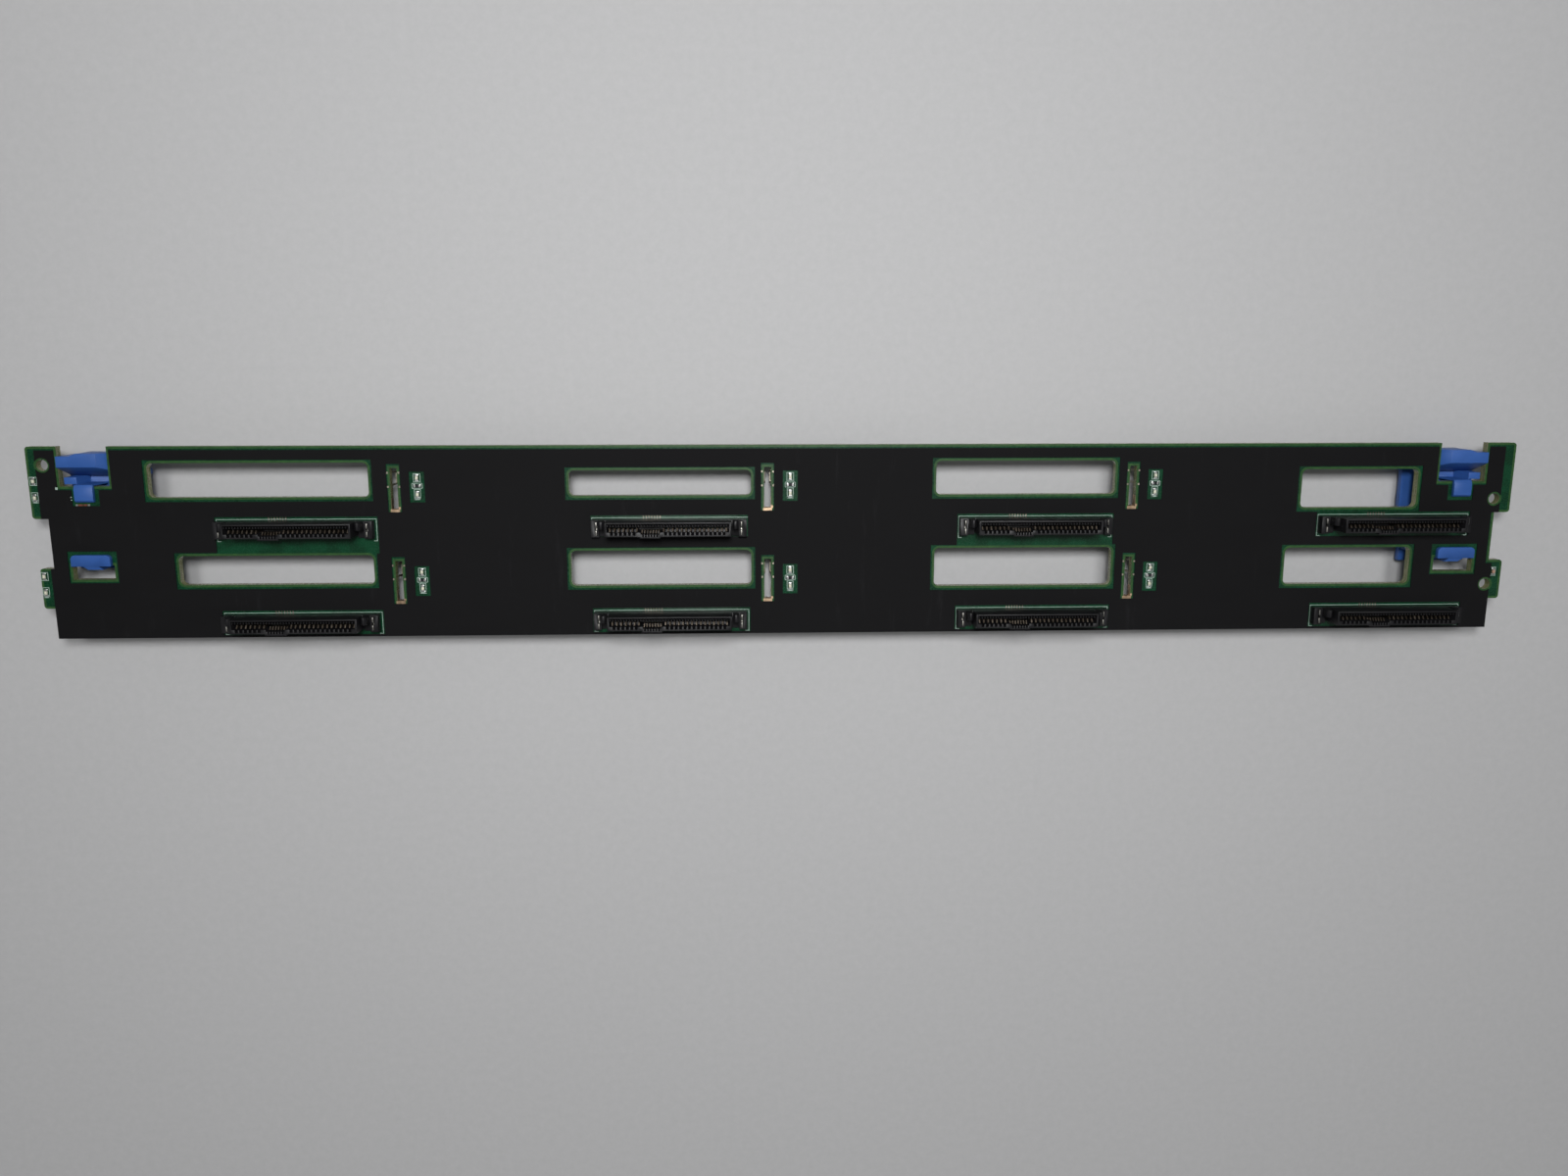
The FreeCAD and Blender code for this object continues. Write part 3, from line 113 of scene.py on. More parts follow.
# a flat ring: a rectangle with rounded corners, less the same shape set in by the line's width
def addRing(name, x0, x1, y0, y1, z, line, height, radius=0):
    clearSelection()
    bpy.ops.mesh.primitive_plane_add(size=1, location=((x0 + x1) / 2, (y0 + y1) / 2, z))
    piece = bpy.context.object
    piece.name = name
    piece.scale = (x1 - x0, y1 - y0, 1)
    settle(piece)
    bpy.ops.object.mode_set(mode="EDIT")
    bpy.ops.mesh.select_all(action="SELECT")
    if radius:
        bpy.ops.mesh.bevel(offset=radius, segments=stepSizes["cornerSegments"], affect="VERTICES")
        bpy.ops.mesh.select_all(action="SELECT")
    bpy.ops.mesh.inset(thickness=line)
    bpy.ops.mesh.delete(type="FACE")
    bpy.ops.object.mode_set(mode="OBJECT")
    return applyModifier(piece, "SOLIDIFY", thickness=height, offset=1)


def joinPieces(name, pieces):
    clearSelection()
    for piece in pieces:
        piece.select_set(True)
    bpy.context.view_layer.objects.active = pieces[0]
    if len(pieces) > 1:
        bpy.ops.object.join()
    joined = bpy.context.object
    joined.name = name
    joined.data.name = name
    return joined


def copyPiece(piece, name, offset=(0, 0, 0)):
    twin = piece.copy()
    twin.data = piece.data.copy()
    twin.name = name
    bpy.context.scene.collection.objects.link(twin)
    twin.data.transform(Matrix.Translation(Vector(offset)))
    return twin


def paint(piece, material):
    piece.data.materials.clear()
    piece.data.materials.append(material)
    return piece


def finishPiece(piece):
    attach(piece, "root")
    return piece


def movePoints(piece, isPicked, offset):
    makeActive(piece)
    bpy.ops.object.mode_set(mode="EDIT")
    bpy.ops.mesh.select_mode(type="VERT")
    bpy.ops.mesh.select_all(action="DESELECT")
    bpy.ops.object.mode_set(mode="OBJECT")
    for point in piece.data.vertices:
        point.select = isPicked(point.co)
    bpy.ops.object.mode_set(mode="EDIT")
    bpy.ops.transform.translate(value=offset)
    bpy.ops.object.mode_set(mode="OBJECT")


# a copy of a CAD node with its loose triangles merged, left in edit mode with all of it selected
def mergedCopy(nodeName, name):
    piece = copyPiece(nodes[nodeName], name)
    piece.parent = None
    for key in list(piece.keys()):
        del piece[key]
    makeActive(piece)
    bpy.ops.object.mode_set(mode="EDIT")
    bpy.ops.mesh.select_all(action="SELECT")
    bpy.ops.mesh.remove_doubles(threshold=stepSizes["mergeReach"])
    return piece


# the same with its flat faces joined, its points moved by reshape if given, and its edges broken
def roundedCopy(nodeName, name, width, segments=2, reshape=None):
    piece = mergedCopy(nodeName, name)
    bpy.ops.mesh.dissolve_limited(angle_limit=stepSizes["flatUnder"])
    bpy.ops.object.mode_set(mode="OBJECT")
    if reshape:
        reshape(piece)
    softenEdges(piece, width, segments)
    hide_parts(nodeName)
    return piece


# material steps
def newMaterial(name, **shader):
    material = bpy.data.materials.new(name)
    material.use_nodes = True
    tree = material.node_tree
    tree.nodes.clear()
    output = tree.nodes.new("ShaderNodeOutputMaterial")
    surface = tree.nodes.new("ShaderNodeBsdfPrincipled")
    tree.links.new(surface.outputs["BSDF"], output.inputs["Surface"])
    for key, value in shader.items():
        surface.inputs[key.replace("_", " ")].default_value = value
    return material, tree, surface


def addNoise(tree, scale, detail=3, roughness=0.5, stretch=(1, 1, 1)):
    coordinates = tree.nodes.new("ShaderNodeTexCoord")
    mapping = tree.nodes.new("ShaderNodeMapping")
    mapping.inputs["Scale"].default_value = stretch
    noise = tree.nodes.new("ShaderNodeTexNoise")
    noise.inputs["Scale"].default_value = scale
    noise.inputs["Detail"].default_value = detail
    noise.inputs["Roughness"].default_value = roughness
    tree.links.new(coordinates.outputs["Object"], mapping.inputs["Vector"])
    tree.links.new(mapping.outputs["Vector"], noise.inputs["Vector"])
    return noise.outputs["Fac"]


def addRamp(tree, factor, stops):
    ramp = tree.nodes.new("ShaderNodeValToRGB")
    elements = ramp.color_ramp.elements
    while len(elements) < len(stops):
        elements.new(0.5)
    for element, (position, colour) in zip(elements, stops):
        element.position = position
        element.color = (*colour, 1) if len(colour) == 3 else colour
    tree.links.new(factor, ramp.inputs["Fac"])
    return ramp.outputs["Color"]


def addMix(tree, factor, first, second):
    mix = tree.nodes.new("ShaderNodeMix")
    mix.data_type = "RGBA"
    for socket, value in ((mix.inputs[0], factor), (mix.inputs[6], first), (mix.inputs[7], second)):
        if hasattr(value, "is_output"):
            tree.links.new(value, socket)
        else:
            socket.default_value = value if isinstance(value, float) else (*value, 1)
    return mix.outputs[2]


def addBump(tree, surface, height, strength, distance):
    bump = tree.nodes.new("ShaderNodeBump")
    bump.inputs["Strength"].default_value = strength
    bump.inputs["Distance"].default_value = distance
    tree.links.new(height, bump.inputs["Height"])
    tree.links.new(bump.outputs["Normal"], surface.inputs["Normal"])


def addRange(tree, factor, lowest, highest):
    scaled = tree.nodes.new("ShaderNodeMapRange")
    scaled.inputs["To Min"].default_value = lowest
    scaled.inputs["To Max"].default_value = highest
    tree.links.new(factor, scaled.inputs["Value"])
    return scaled.outputs["Result"]


def steepness(tree):  # 0 on level faces, 1 on upright ones
    geometry = tree.nodes.new("ShaderNodeNewGeometry")
    split = tree.nodes.new("ShaderNodeSeparateXYZ")
    absolute = tree.nodes.new("ShaderNodeMath")
    absolute.operation = "ABSOLUTE"
    upright = tree.nodes.new("ShaderNodeMath")
    upright.operation = "LESS_THAN"
    upright.inputs[1].default_value = 0.5
    tree.links.new(geometry.outputs["True Normal"], split.inputs["Vector"])
    tree.links.new(split.outputs["Z"], absolute.inputs[0])
    tree.links.new(absolute.outputs[0], upright.inputs[0])
    return upright.outputs[0]


# finishes
boardLook = {
    "mask": (0.0018, 0.030, 0.0115),
    "maskOverCopper": (0.0026, 0.043, 0.017),
    "laminate": (0.26, 0.25, 0.13),
    "laminateDark": (0.11, 0.13, 0.055),
    "bareBorder": (0.030, 0.088, 0.023),
    "bareBorderDark": (0.015, 0.052, 0.015),
    "gloss": 0.3,
    "trackScale": 260,
    "fineScale": 2500,
    "layerScale": 500,
    "layerStretch": (0.5, 0.5, 9),
    "roughness": (0.2, 0.34),
    "relief": (0.15, 0.03 * mm),
    "borderTintScale": 900,
    "borderGrainScale": 3500,
    "borderRoughness": 0.35,
    "borderRelief": (0.2, 0.02 * mm),
}


def makeBoardMaterial():
    look = boardLook
    material, tree, surface = newMaterial("greenSolderMask", Specular_IOR_Level=look["gloss"])
    tracks = addRamp(tree, addNoise(tree, look["trackScale"], 3, 0.5),
                     [(0.42, look["mask"]), (0.6, look["maskOverCopper"])])
    fine = addNoise(tree, look["fineScale"], 2)
    layers = addRamp(tree, addNoise(tree, look["layerScale"], 2, 0.6, look["layerStretch"]),
                     [(0.4, look["laminateDark"]), (0.6, look["laminate"])])
    colour = addMix(tree, steepness(tree), tracks, layers)
    tree.links.new(colour, surface.inputs["Base Color"])
    tree.links.new(addRange(tree, fine, *look["roughness"]), surface.inputs["Roughness"])
    addBump(tree, surface, fine, *look["relief"])
    return material


def makeBorderMaterial():
    look = boardLook
    material, tree, surface = newMaterial("bareLaminateBorder", Roughness=look["borderRoughness"],
                                          Specular_IOR_Level=look["gloss"])
    colour = addRamp(tree, addNoise(tree, look["borderTintScale"], 3),
                     [(0.3, look["bareBorderDark"]), (0.7, look["bareBorder"])])
    tree.links.new(colour, surface.inputs["Base Color"])
    addBump(tree, surface, addNoise(tree, look["borderGrainScale"], 2), *look["borderRelief"])
    return material


filmLook = {
    "colour": (0.0044, 0.0043, 0.0048),
    "mottled": (0.0062, 0.0061, 0.0067),
    "scuffed": (0.018, 0.018, 0.0195),
    "roughness": (0.68, 0.84),
    "gloss": 0.12,
    "grainScale": 3200,
    "cloudScale": 55,
    "cloudStretch": (1, 2.2, 1),
    "scratchScale": 260,
    "scratchStretch": (1, 0.12, 1),
    "relief": (0.35, 0.04 * mm),
}


def makeFilmMaterial():
    look = filmLook
    material, tree, surface = newMaterial("insulatorFilm", Specular_IOR_Level=look["gloss"])
    grain = addNoise(tree, look["grainScale"], 2, 0.6)
    cloud = addNoise(tree, look["cloudScale"], 5, 0.6, look["cloudStretch"])
    scratches = addNoise(tree, look["scratchScale"], 6, 0.75, look["scratchStretch"])
    worn = addRamp(tree, scratches, [(0.60, (0, 0, 0)), (0.74, (0.35, 0.35, 0.35))])
    base = addRamp(tree, cloud, [(0.3, look["colour"]), (0.75, look["mottled"])])
    tree.links.new(addMix(tree, worn, base, look["scuffed"]), surface.inputs["Base Color"])
    tree.links.new(addRange(tree, cloud, *look["roughness"]), surface.inputs["Roughness"])
    addBump(tree, surface, grain, *look["relief"])
    return material


mouldedLook = {"cloudScale": 160, "smoother": 0.07, "rougher": 0.1, "depth": 0.03 * mm}
metalLook = {"cloudScale": 700, "smoother": 0.08, "rougher": 0.12, "grainScale": 2600,
             "relief": (0.1, 0.02 * mm)}


def makeMouldedMaterial(name, colour, worn, roughness, grain=1800, strength=0.12, gloss=0.4):
    look = mouldedLook
    material, tree, surface = newMaterial(name, Specular_IOR_Level=gloss)
    cloud = addNoise(tree, look["cloudScale"], 4, 0.55)
    shade = addRamp(tree, cloud, [(0.35, colour), (0.75, worn)])
    dullness = addRange(tree, cloud, roughness - look["smoother"], roughness + look["rougher"])
    tree.links.new(shade, surface.inputs["Base Color"])
    tree.links.new(dullness, surface.inputs["Roughness"])
    addBump(tree, surface, addNoise(tree, grain, 3), strength, look["depth"])
    return material


def makeMetalMaterial(name, colour, dull, roughness):
    look = metalLook
    material, tree, surface = newMaterial(name, Metallic=1.0)
    cloud = addNoise(tree, look["cloudScale"], 4, 0.6)
    shade = addRamp(tree, cloud, [(0.35, dull), (0.65, colour)])
    dullness = addRange(tree, cloud, roughness - look["smoother"], roughness + look["rougher"])
    tree.links.new(shade, surface.inputs["Base Color"])
    tree.links.new(dullness, surface.inputs["Roughness"])
    addBump(tree, surface, addNoise(tree, look["grainScale"], 2), *look["relief"])
    return material


boardMask = makeBoardMaterial()
bareBorder = makeBorderMaterial()
blackFilm = makeFilmMaterial()
socketBlack = makeMouldedMaterial("socketBlack", (0.0056, 0.0055, 0.0064), (0.0085, 0.008, 0.0095),
                                  0.42, gloss=0.28)
latchBlue = makeMouldedMaterial("latchBlue", (0.024, 0.085, 0.30), (0.032, 0.105, 0.36), 0.42,
                                grain=1500, strength=0.1)
headerCream = makeMouldedMaterial("headerCream", (0.62, 0.60, 0.52), (0.70, 0.68, 0.60), 0.45)
chipBlack = makeMouldedMaterial("chipBlack", (0.012, 0.012, 0.013), (0.02, 0.02, 0.021), 0.55,
                                grain=2600, strength=0.2)
ceramicTan = makeMouldedMaterial("ceramicTan", (0.30, 0.17, 0.12), (0.38, 0.23, 0.16), 0.5)
lightResin = makeMouldedMaterial("lightResin", (0.55, 0.55, 0.44), (0.66, 0.65, 0.52), 0.25)
resistorBlack = makeMouldedMaterial("resistorBlack", (0.01, 0.012, 0.014), (0.016, 0.018, 0.02),
                                    0.3)
markingWhite = makeMouldedMaterial("markingWhite", (0.25, 0.33, 0.29), (0.32, 0.41, 0.36), 0.6)
bareCopper = makeMetalMaterial("bareCopper", (0.48, 0.17, 0.12), (0.28, 0.10, 0.07), 0.4)
goldPlate = makeMetalMaterial("goldPlate", (0.72, 0.52, 0.34), (0.42, 0.29, 0.19), 0.34)
# the socket contacts' gold: a dull gold-grey contact metal, painted darker still as painted shade
# for the contacts deep inside the socket cavities
contactGoldWithPaintedShade = makeMetalMaterial("contactGoldWithPaintedShade", (0.24, 0.20, 0.16), (0.10, 0.08, 0.06), 0.42)
holdownTin = makeMetalMaterial("holdownTin", (0.36, 0.35, 0.32), (0.18, 0.175, 0.16), 0.42)
tinPlate = makeMetalMaterial("tinPlate", (0.70, 0.70, 0.69), (0.46, 0.46, 0.46), 0.36)
springSteel = makeMetalMaterial("springSteel", (0.44, 0.41, 0.33), (0.24, 0.22, 0.17), 0.42)
shellSteel = makeMetalMaterial("shellSteel", (0.70, 0.70, 0.70), (0.5, 0.5, 0.5), 0.38)
print("finishes made")

# finish of each CAD node that keeps its own mesh
nodeFinish = {
    "circuit_board": boardMask,
    "insulator_film": blackFilm,
    # the socket contacts take the gold that carries the painted shade of the socket cavities
    "socket_contacts": contactGoldWithPaintedShade,
    "power_pins": goldPlate,
    "signal_pins": goldPlate,
    "chip_leads": tinPlate,
}
for nodeName, node in nodes.items():
    for start, material in nodeFinish.items():
        if nodeName.startswith(start):
            paint(node, material)

# CAD nodes that are shown with their edges broken: finish, edge width, slot
edgeFinish = {
    "drive_socket": (socketBlack, 0.07 * mm, "socket"),
    "socket_holdowns": (holdownTin, 0.06 * mm, "tinned_metal"),
    "upper_cable_shell": (shellSteel, 0.1 * mm, "shell"),
    "lower_cable_shell": (shellSteel, 0.1 * mm, "shell"),
    "upper_cable_tongue": (socketBlack, 0.1 * mm, "socket"),
    "lower_cable_tongue": (socketBlack, 0.1 * mm, "socket"),
    "power_header": (headerCream, 0.15 * mm, "header"),
    "signal_header": (socketBlack, 0.15 * mm, "socket"),
    "controller_chip": (chipBlack, 0.12 * mm, "chip"),
    "power_coils": (chipBlack, 0.5 * mm, "chip"),
    "can_capacitors": (shellSteel, 0.3 * mm, "shell"),
    "ceramic_capacitors": (ceramicTan, 0.08 * mm, "ceramic"),
    "crystal": (shellSteel, 0.3 * mm, "shell"),
}
for nodeName in sorted(nodes):
    for start, (material, width, slotName) in edgeFinish.items():
        if nodeName.startswith(start):
            piece = roundedCopy(nodeName, nodeName + ".moulded", width)
            finishPiece(paint(piece, material))
print("moulded pieces made")

# the latches' shown copies: a deeper grip, a shorter snap head and a slanting hook tab.
# y is measured from the grip's upper edge or the latch's lower edge, z from the floor
latchSizes = {
    "edge": 0.2 * mm,
    "gripReach": 6.75 * mm,
    "gripFoot": (9.2 * mm, 10.6 * mm),
    "gripDrop": 3.7 * mm,
    "bevelFoot": (11.9 * mm, 12.1 * mm),
    "bevelReach": 5.0 * mm,
    "bevelRise": 0.87 * mm,
    "headFrom": (-8.5 * mm, -8.1 * mm),
    "headTop": (14.2 * mm, 14.4 * mm),
    "headTrim": 1.67 * mm,
    "neckFrom": (-7.9 * mm, -7.7 * mm),
    "neckTrim": 0.95 * mm,
    "tabReach": 1.0 * mm,
    "tabTop": 14.4 * mm,
    "tabDrop": 2.6 * mm,
    "innerTrim": 1.2 * mm,
}


def between(value, limits):
    return limits[0] < value < limits[1]


def reshapeLatch(piece):
    size = latchSizes
    points = [point.co for point in piece.data.vertices]
    side = 1 if points[0].x > 0 else -1
    top = max(p.y for p in points)
    bottom = min(p.y for p in points)
    inner = min(abs(p.x) for p in points)
    for isPicked, offset in (
        (lambda p: p.y > top - size["gripReach"] and between(p.z, size["gripFoot"]),
         (0, 0, -size["gripDrop"])),
        (lambda p: p.y < top - size["bevelReach"] and between(p.z, size["bevelFoot"]),
         (0, size["bevelRise"], 0)),
        (lambda p: between(p.y - top, size["headFrom"]) and between(p.z, size["headTop"]),
         (0, -size["headTrim"], 0)),
        (lambda p: between(p.y - top, size["neckFrom"]),
         (0, -size["neckTrim"], 0)),
        (lambda p: p.y < bottom + size["tabReach"] and p.z > size["tabTop"],
         (0, 0, -size["tabDrop"])),
        (lambda p: abs(p.x) < inner + size["innerTrim"],
         (side * size["innerTrim"], 0, 0)),
    ):
        movePoints(piece, isPicked, offset)


for nodeName in ("left_latch", "right_latch"):
    piece = roundedCopy(nodeName, nodeName + ".moulded", latchSizes["edge"], 2, reshapeLatch)
    finishPiece(paint(piece, latchBlue))
print("latches made")

# the divider slots: their clip's place is the slot's own, and the gold plating is at the lower end
slotSizes = {
    "halfWidth": 1.0 * mm,
    "bottom": -8.5 * mm,
    "padHalfWidth": 1.3 * mm,
    "padLength": 0.8 * mm,
    "tickWidth": 0.55 * mm,
    "tickLength": 0.7 * mm,
    "plating": 0.03 * mm,
    "platedLength": 3.2 * mm,
}


def clipPlace(name):
    lowest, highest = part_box(name)
    return Vector(((lowest.x + highest.x) / 2, (lowest.y + highest.y) / 2, boardFront))


def makeSlotPads():
    size = slotSizes
    parts = []
    for clip in clipNames:
        place = clipPlace(clip)
        bottom = place.y + size["bottom"]
        thick = size["plating"]
        top = boardFront + thick
        left, right = place.x - size["halfWidth"], place.x + size["halfWidth"]
        padLeft, padRight = place.x - size["padHalfWidth"], place.x + size["padHalfWidth"]
        parts.append(addBlock("slotPad", padLeft, padRight, bottom - size["padLength"], bottom,
                              boardFront, top))
        parts.append(addBlock("slotTick", right, right + size["tickWidth"],
                              bottom, bottom + size["tickLength"], boardFront, top))
        for side in (-1, 1):
            wall = place.x + side * (size["halfWidth"] - thick / 2)
            parts.append(addBlock("slotPlating", wall - thick / 2, wall + thick / 2,
                                  bottom, bottom + size["platedLength"], boardRear, top))
        parts.append(addBlock("slotEndPlating", left, right, bottom, bottom + thick,
                              boardRear, top))
    pads = joinPieces("slotPlating", parts)
    finishPiece(paint(pads, goldPlate))


# the border without mask along every edge of the board: the front face, inset, less its middle
borderSizes = {"width": 0.65 * mm, "height": 0.015 * mm, "facesFront": 0.9}


def makeBorders():
    border = mergedCopy("circuit_board", "bareBorders")
    bpy.ops.mesh.select_mode(type="FACE")
    bpy.ops.mesh.select_all(action="DESELECT")
    bpy.ops.object.mode_set(mode="OBJECT")
    for face in border.data.polygons:
        face.select = face.normal.z < borderSizes["facesFront"]
    bpy.ops.object.mode_set(mode="EDIT")
    bpy.ops.mesh.delete(type="FACE")
    bpy.ops.mesh.select_mode(type="VERT")
    bpy.ops.mesh.select_all(action="DESELECT")
    bpy.ops.object.mode_set(mode="OBJECT")
    clipBoxes = [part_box(clip) for clip in clipNames]
    for point in border.data.vertices:
        point.select = any(low.x < point.co.x < high.x and low.y < point.co.y < high.y
                           for low, high in clipBoxes)
    bpy.ops.object.mode_set(mode="EDIT")
    bpy.ops.mesh.fill_holes(sides=4)
    bpy.ops.mesh.select_mode(type="FACE")
    bpy.ops.mesh.select_all(action="SELECT")
    bpy.ops.mesh.inset(thickness=borderSizes["width"], use_boundary=True)
    bpy.ops.mesh.delete(type="FACE")
    bpy.ops.object.mode_set(mode="OBJECT")
    applyModifier(border, "SOLIDIFY", thickness=borderSizes["height"], offset=1)
    finishPiece(paint(border, bareBorder))


makeBorders()
makeSlotPads()
print("borders and slot plating made")

# the clip's two bars that would cross the open slot are cut out of the shown copy
clipSizes = {"gapHalfWidth": 1.0 * mm, "barFrom": 1.95 * mm, "barTo": 3.3 * mm, "edge": 0.05 * mm}


def makeGroundClips():
    size = clipSizes
    for number, name in enumerate(clipNames, start=1):
        place = clipPlace(name)
        clip = roundedCopy(name, f"groundClip{number}", size["edge"], 1)
        left, right = place.x - size["gapHalfWidth"], place.x + size["gapHalfWidth"]
        for side in (-1, 1):
            near, far = sorted((place.y + side * size["barFrom"], place.y + side * size["barTo"]))
            cutter = addBlock("barCutter", left, right, near, far, 0, boardFront)
            applyModifier(clip, "BOOLEAN", object=cutter, operation="DIFFERENCE", solver="EXACT")
            bpy.data.objects.remove(cutter)
        finishPiece(paint(clip, springSteel))


makeGroundClips()
print("ground clips made")

# white markings on the board
markSizes = {
    "line": 0.17 * mm,
    "height": 0.02 * mm,
    "socketLeft": -22.4 * mm,
    "socketRight": 22.9 * mm,
    "socketTop": 2.72 * mm,
    "socketHeight": 6.5 * mm,
    "stub": 1.1 * mm,
    "bar": 0.45 * mm,
    "barLeg": 0.34 * mm,
    "barHeight": 1.0 * mm,
    "gapReach": 1.0 * mm,
    "capacitorBox": (1.7 * mm, 2.7 * mm),
}
# lights beside each of the first three columns and on the left ears, from the socket's place
lightSizes = {
    "x": 34.95 * mm,
    "upper": 14.37 * mm,
    "resistor": 12.07 * mm,
    "lower": 9.57 * mm,
    "earX": 1.4 * mm,
    "earUpper": 13.77 * mm,
    "earLower": 9.07 * mm,
    "upperBox": (2.1 * mm, 2.5 * mm),
    "resistorBox": (3.1 * mm, 1.6 * mm),
    "resistorCorner": 0.35 * mm,
    "lowerBox": (1.9 * mm, 3.1 * mm),
}


def lightPlaces():
    size = lightSizes
    for number, name in enumerate(socketNames):
        place = socketPlace(name)
        column = number % 4
        if column < 3:
            yield (place.x + size["x"], place.y + size["upper"], place.y + size["lower"],
                   place.y + size["resistor"])
        if column == 0:
            yield (boardLow.x + size["earX"], place.y + size["earUpper"],
                   place.y + size["earLower"], None)


def addMarkBox(x, y, width, height, radius=0):
    return addRing("markBox", x - width / 2, x + width / 2, y - height / 2, y + height / 2,
                   boardFront, markSizes["line"], markSizes["height"], radius)


def middleOf(nodeName):
    lowest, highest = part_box(nodeName)
    return (lowest.x + highest.x) / 2, (lowest.y + highest.y) / 2


def makeMarkings():
    size = markSizes
    marks = []
    foot = size["socketTop"] - size["socketHeight"]
    reach = size["gapReach"]
    outline = addRing("socketOutline", size["socketLeft"], size["socketRight"],
                      foot, size["socketTop"], 0, size["line"], size["height"])
    gap = addBlock("outlineGap", size["socketLeft"] + size["stub"],
                   size["socketRight"] - size["stub"], foot - reach, foot + reach, -reach, reach)
    applyModifier(outline, "BOOLEAN", object=gap, operation="DIFFERENCE", solver="EXACT")
    for name in socketNames:
        marks.append(copyPiece(outline, "socketOutline", socketPlace(name)))
    for leftover in (outline, gap):
        bpy.data.objects.remove(leftover)
    top = boardFront + size["height"]
    half = lightSizes["lowerBox"][0] / 2
    for x, upper, lower, resistor in lightPlaces():
        foot = lower - lightSizes["lowerBox"][1] / 2
        marks.append(addMarkBox(x, upper, *lightSizes["upperBox"]))
        marks.append(addMarkBox(x, lower, *lightSizes["lowerBox"]))
        marks.append(addBlock("polarityBar", x - half, x + half, foot, foot + size["bar"],
                              boardFront, top))
        for side in (-1, 1):
            left, right = sorted((x + side * half, x + side * (half - size["barLeg"])))
            marks.append(addBlock("polarityLeg", left, right, foot, foot + size["barHeight"],
                                  boardFront, top))
        if resistor is not None:
            marks.append(addMarkBox(x, resistor, *lightSizes["resistorBox"],
                                    lightSizes["resistorCorner"]))
    marks.append(addMarkBox(*middleOf("edge_capacitor"), *size["capacitorBox"]))
    markings = joinPieces("boardMarkings", marks)
    finishPiece(paint(markings, markingWhite))


makeMarkings()

# the row of bare pads below the left latch's snap head, and the white dots beside it
snapSizes = {
    "below": 14.62 * mm,
    "pads": {
        "pale": ((-201.6 * mm, -201.0 * mm), (-198.25 * mm, -197.6 * mm)),
        "copper": ((-200.85 * mm, -199.6 * mm), (-199.4 * mm, -198.4 * mm)),
    },
    "padHeight": 0.55 * mm,
    "dots": (  # x, y, width
        (-202.5 * mm, 13.35 * mm, 0.3 * mm),
        (-202.5 * mm, 12.6 * mm, 0.3 * mm),
        (-206.3 * mm, 15.85 * mm, 0.7 * mm),
    ),
    "thick": 0.02 * mm,
}


def makeSnapMarks():
    size = snapSizes
    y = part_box("left_latch")[1].y - size["below"]
    half = size["padHeight"] / 2
    for kind, name, material, slotName in (
        ("pale", "snapPads", tinPlate, "tinned_metal"),
        ("copper", "snapCopperPads", bareCopper, "contact"),
    ):
        pads = [addBlock("snapPad", left, right, y - half, y + half,
                         boardFront, boardFront + size["thick"])
                for left, right in size["pads"][kind]]
        finishPiece(paint(joinPieces(name, pads), material))
    dots = [addBlock("snapDot", x - width / 2, x + width / 2, y - width / 2, y + width / 2,
                     filmFront, filmFront + size["thick"])
            for x, y, width in size["dots"]]
    finishPiece(paint(joinPieces("snapDots", dots), markingWhite))


makeSnapMarks()
print("markings made")


# one chip part with metal end caps and solder, standing along Y
chipSizes = {
    "width": 0.8 * mm,
    "length": 1.6 * mm,
    "height": 0.45 * mm,
    "capacitorHeight": 0.6 * mm,
    "capShare": 0.22,
    "capHeightShare": 0.96,
    "bodyEdge": 0.04 * mm,
    "capEdge": 0.06 * mm,
    "solderInside": 0.1 * mm,
    "solderOutside": 0.25 * mm,
    "solderBeside": 0.1 * mm,
    "solderHeightShare": 0.4,
    "solderEdge": 0.1 * mm,
    "lensHalfWidth": 0.32 * mm,
    "lensHalfLength": 0.42 * mm,
    "lensFrom": 0.4 * mm,
    "lensTop": 0.6 * mm,
    "lensEdge": 0.12 * mm,
}


def addChipPart(name, height, bodyMaterial):
    size = chipSizes
    halfWidth, halfLength = size["width"] / 2, size["length"] / 2
    inner = halfLength - size["length"] * size["capShare"]
    body = addBlock(name, -halfWidth, halfWidth, -inner, inner, 0, height)
    paint(softenEdges(body, size["bodyEdge"], 1), bodyMaterial)
    parts = [body]
    for side in (-1, 1):
        near, far = sorted((side * inner, side * halfLength))
        end = addBlock(name + "Cap", -halfWidth, halfWidth, near, far,
                       0, height * size["capHeightShare"])
        paint(softenEdges(end, size["capEdge"], 1), tinPlate)
        near, far = sorted((side * (halfLength - size["solderInside"]),
                            side * (halfLength + size["solderOutside"])))
        beside = halfWidth + size["solderBeside"]
        fillet = addBlock(name + "Solder", -beside, beside, near, far,
                          0, height * size["solderHeightShare"])
        paint(softenEdges(fillet, size["solderEdge"], 2), tinPlate)
        parts += [end, fillet]
    return joinPieces(name, parts)


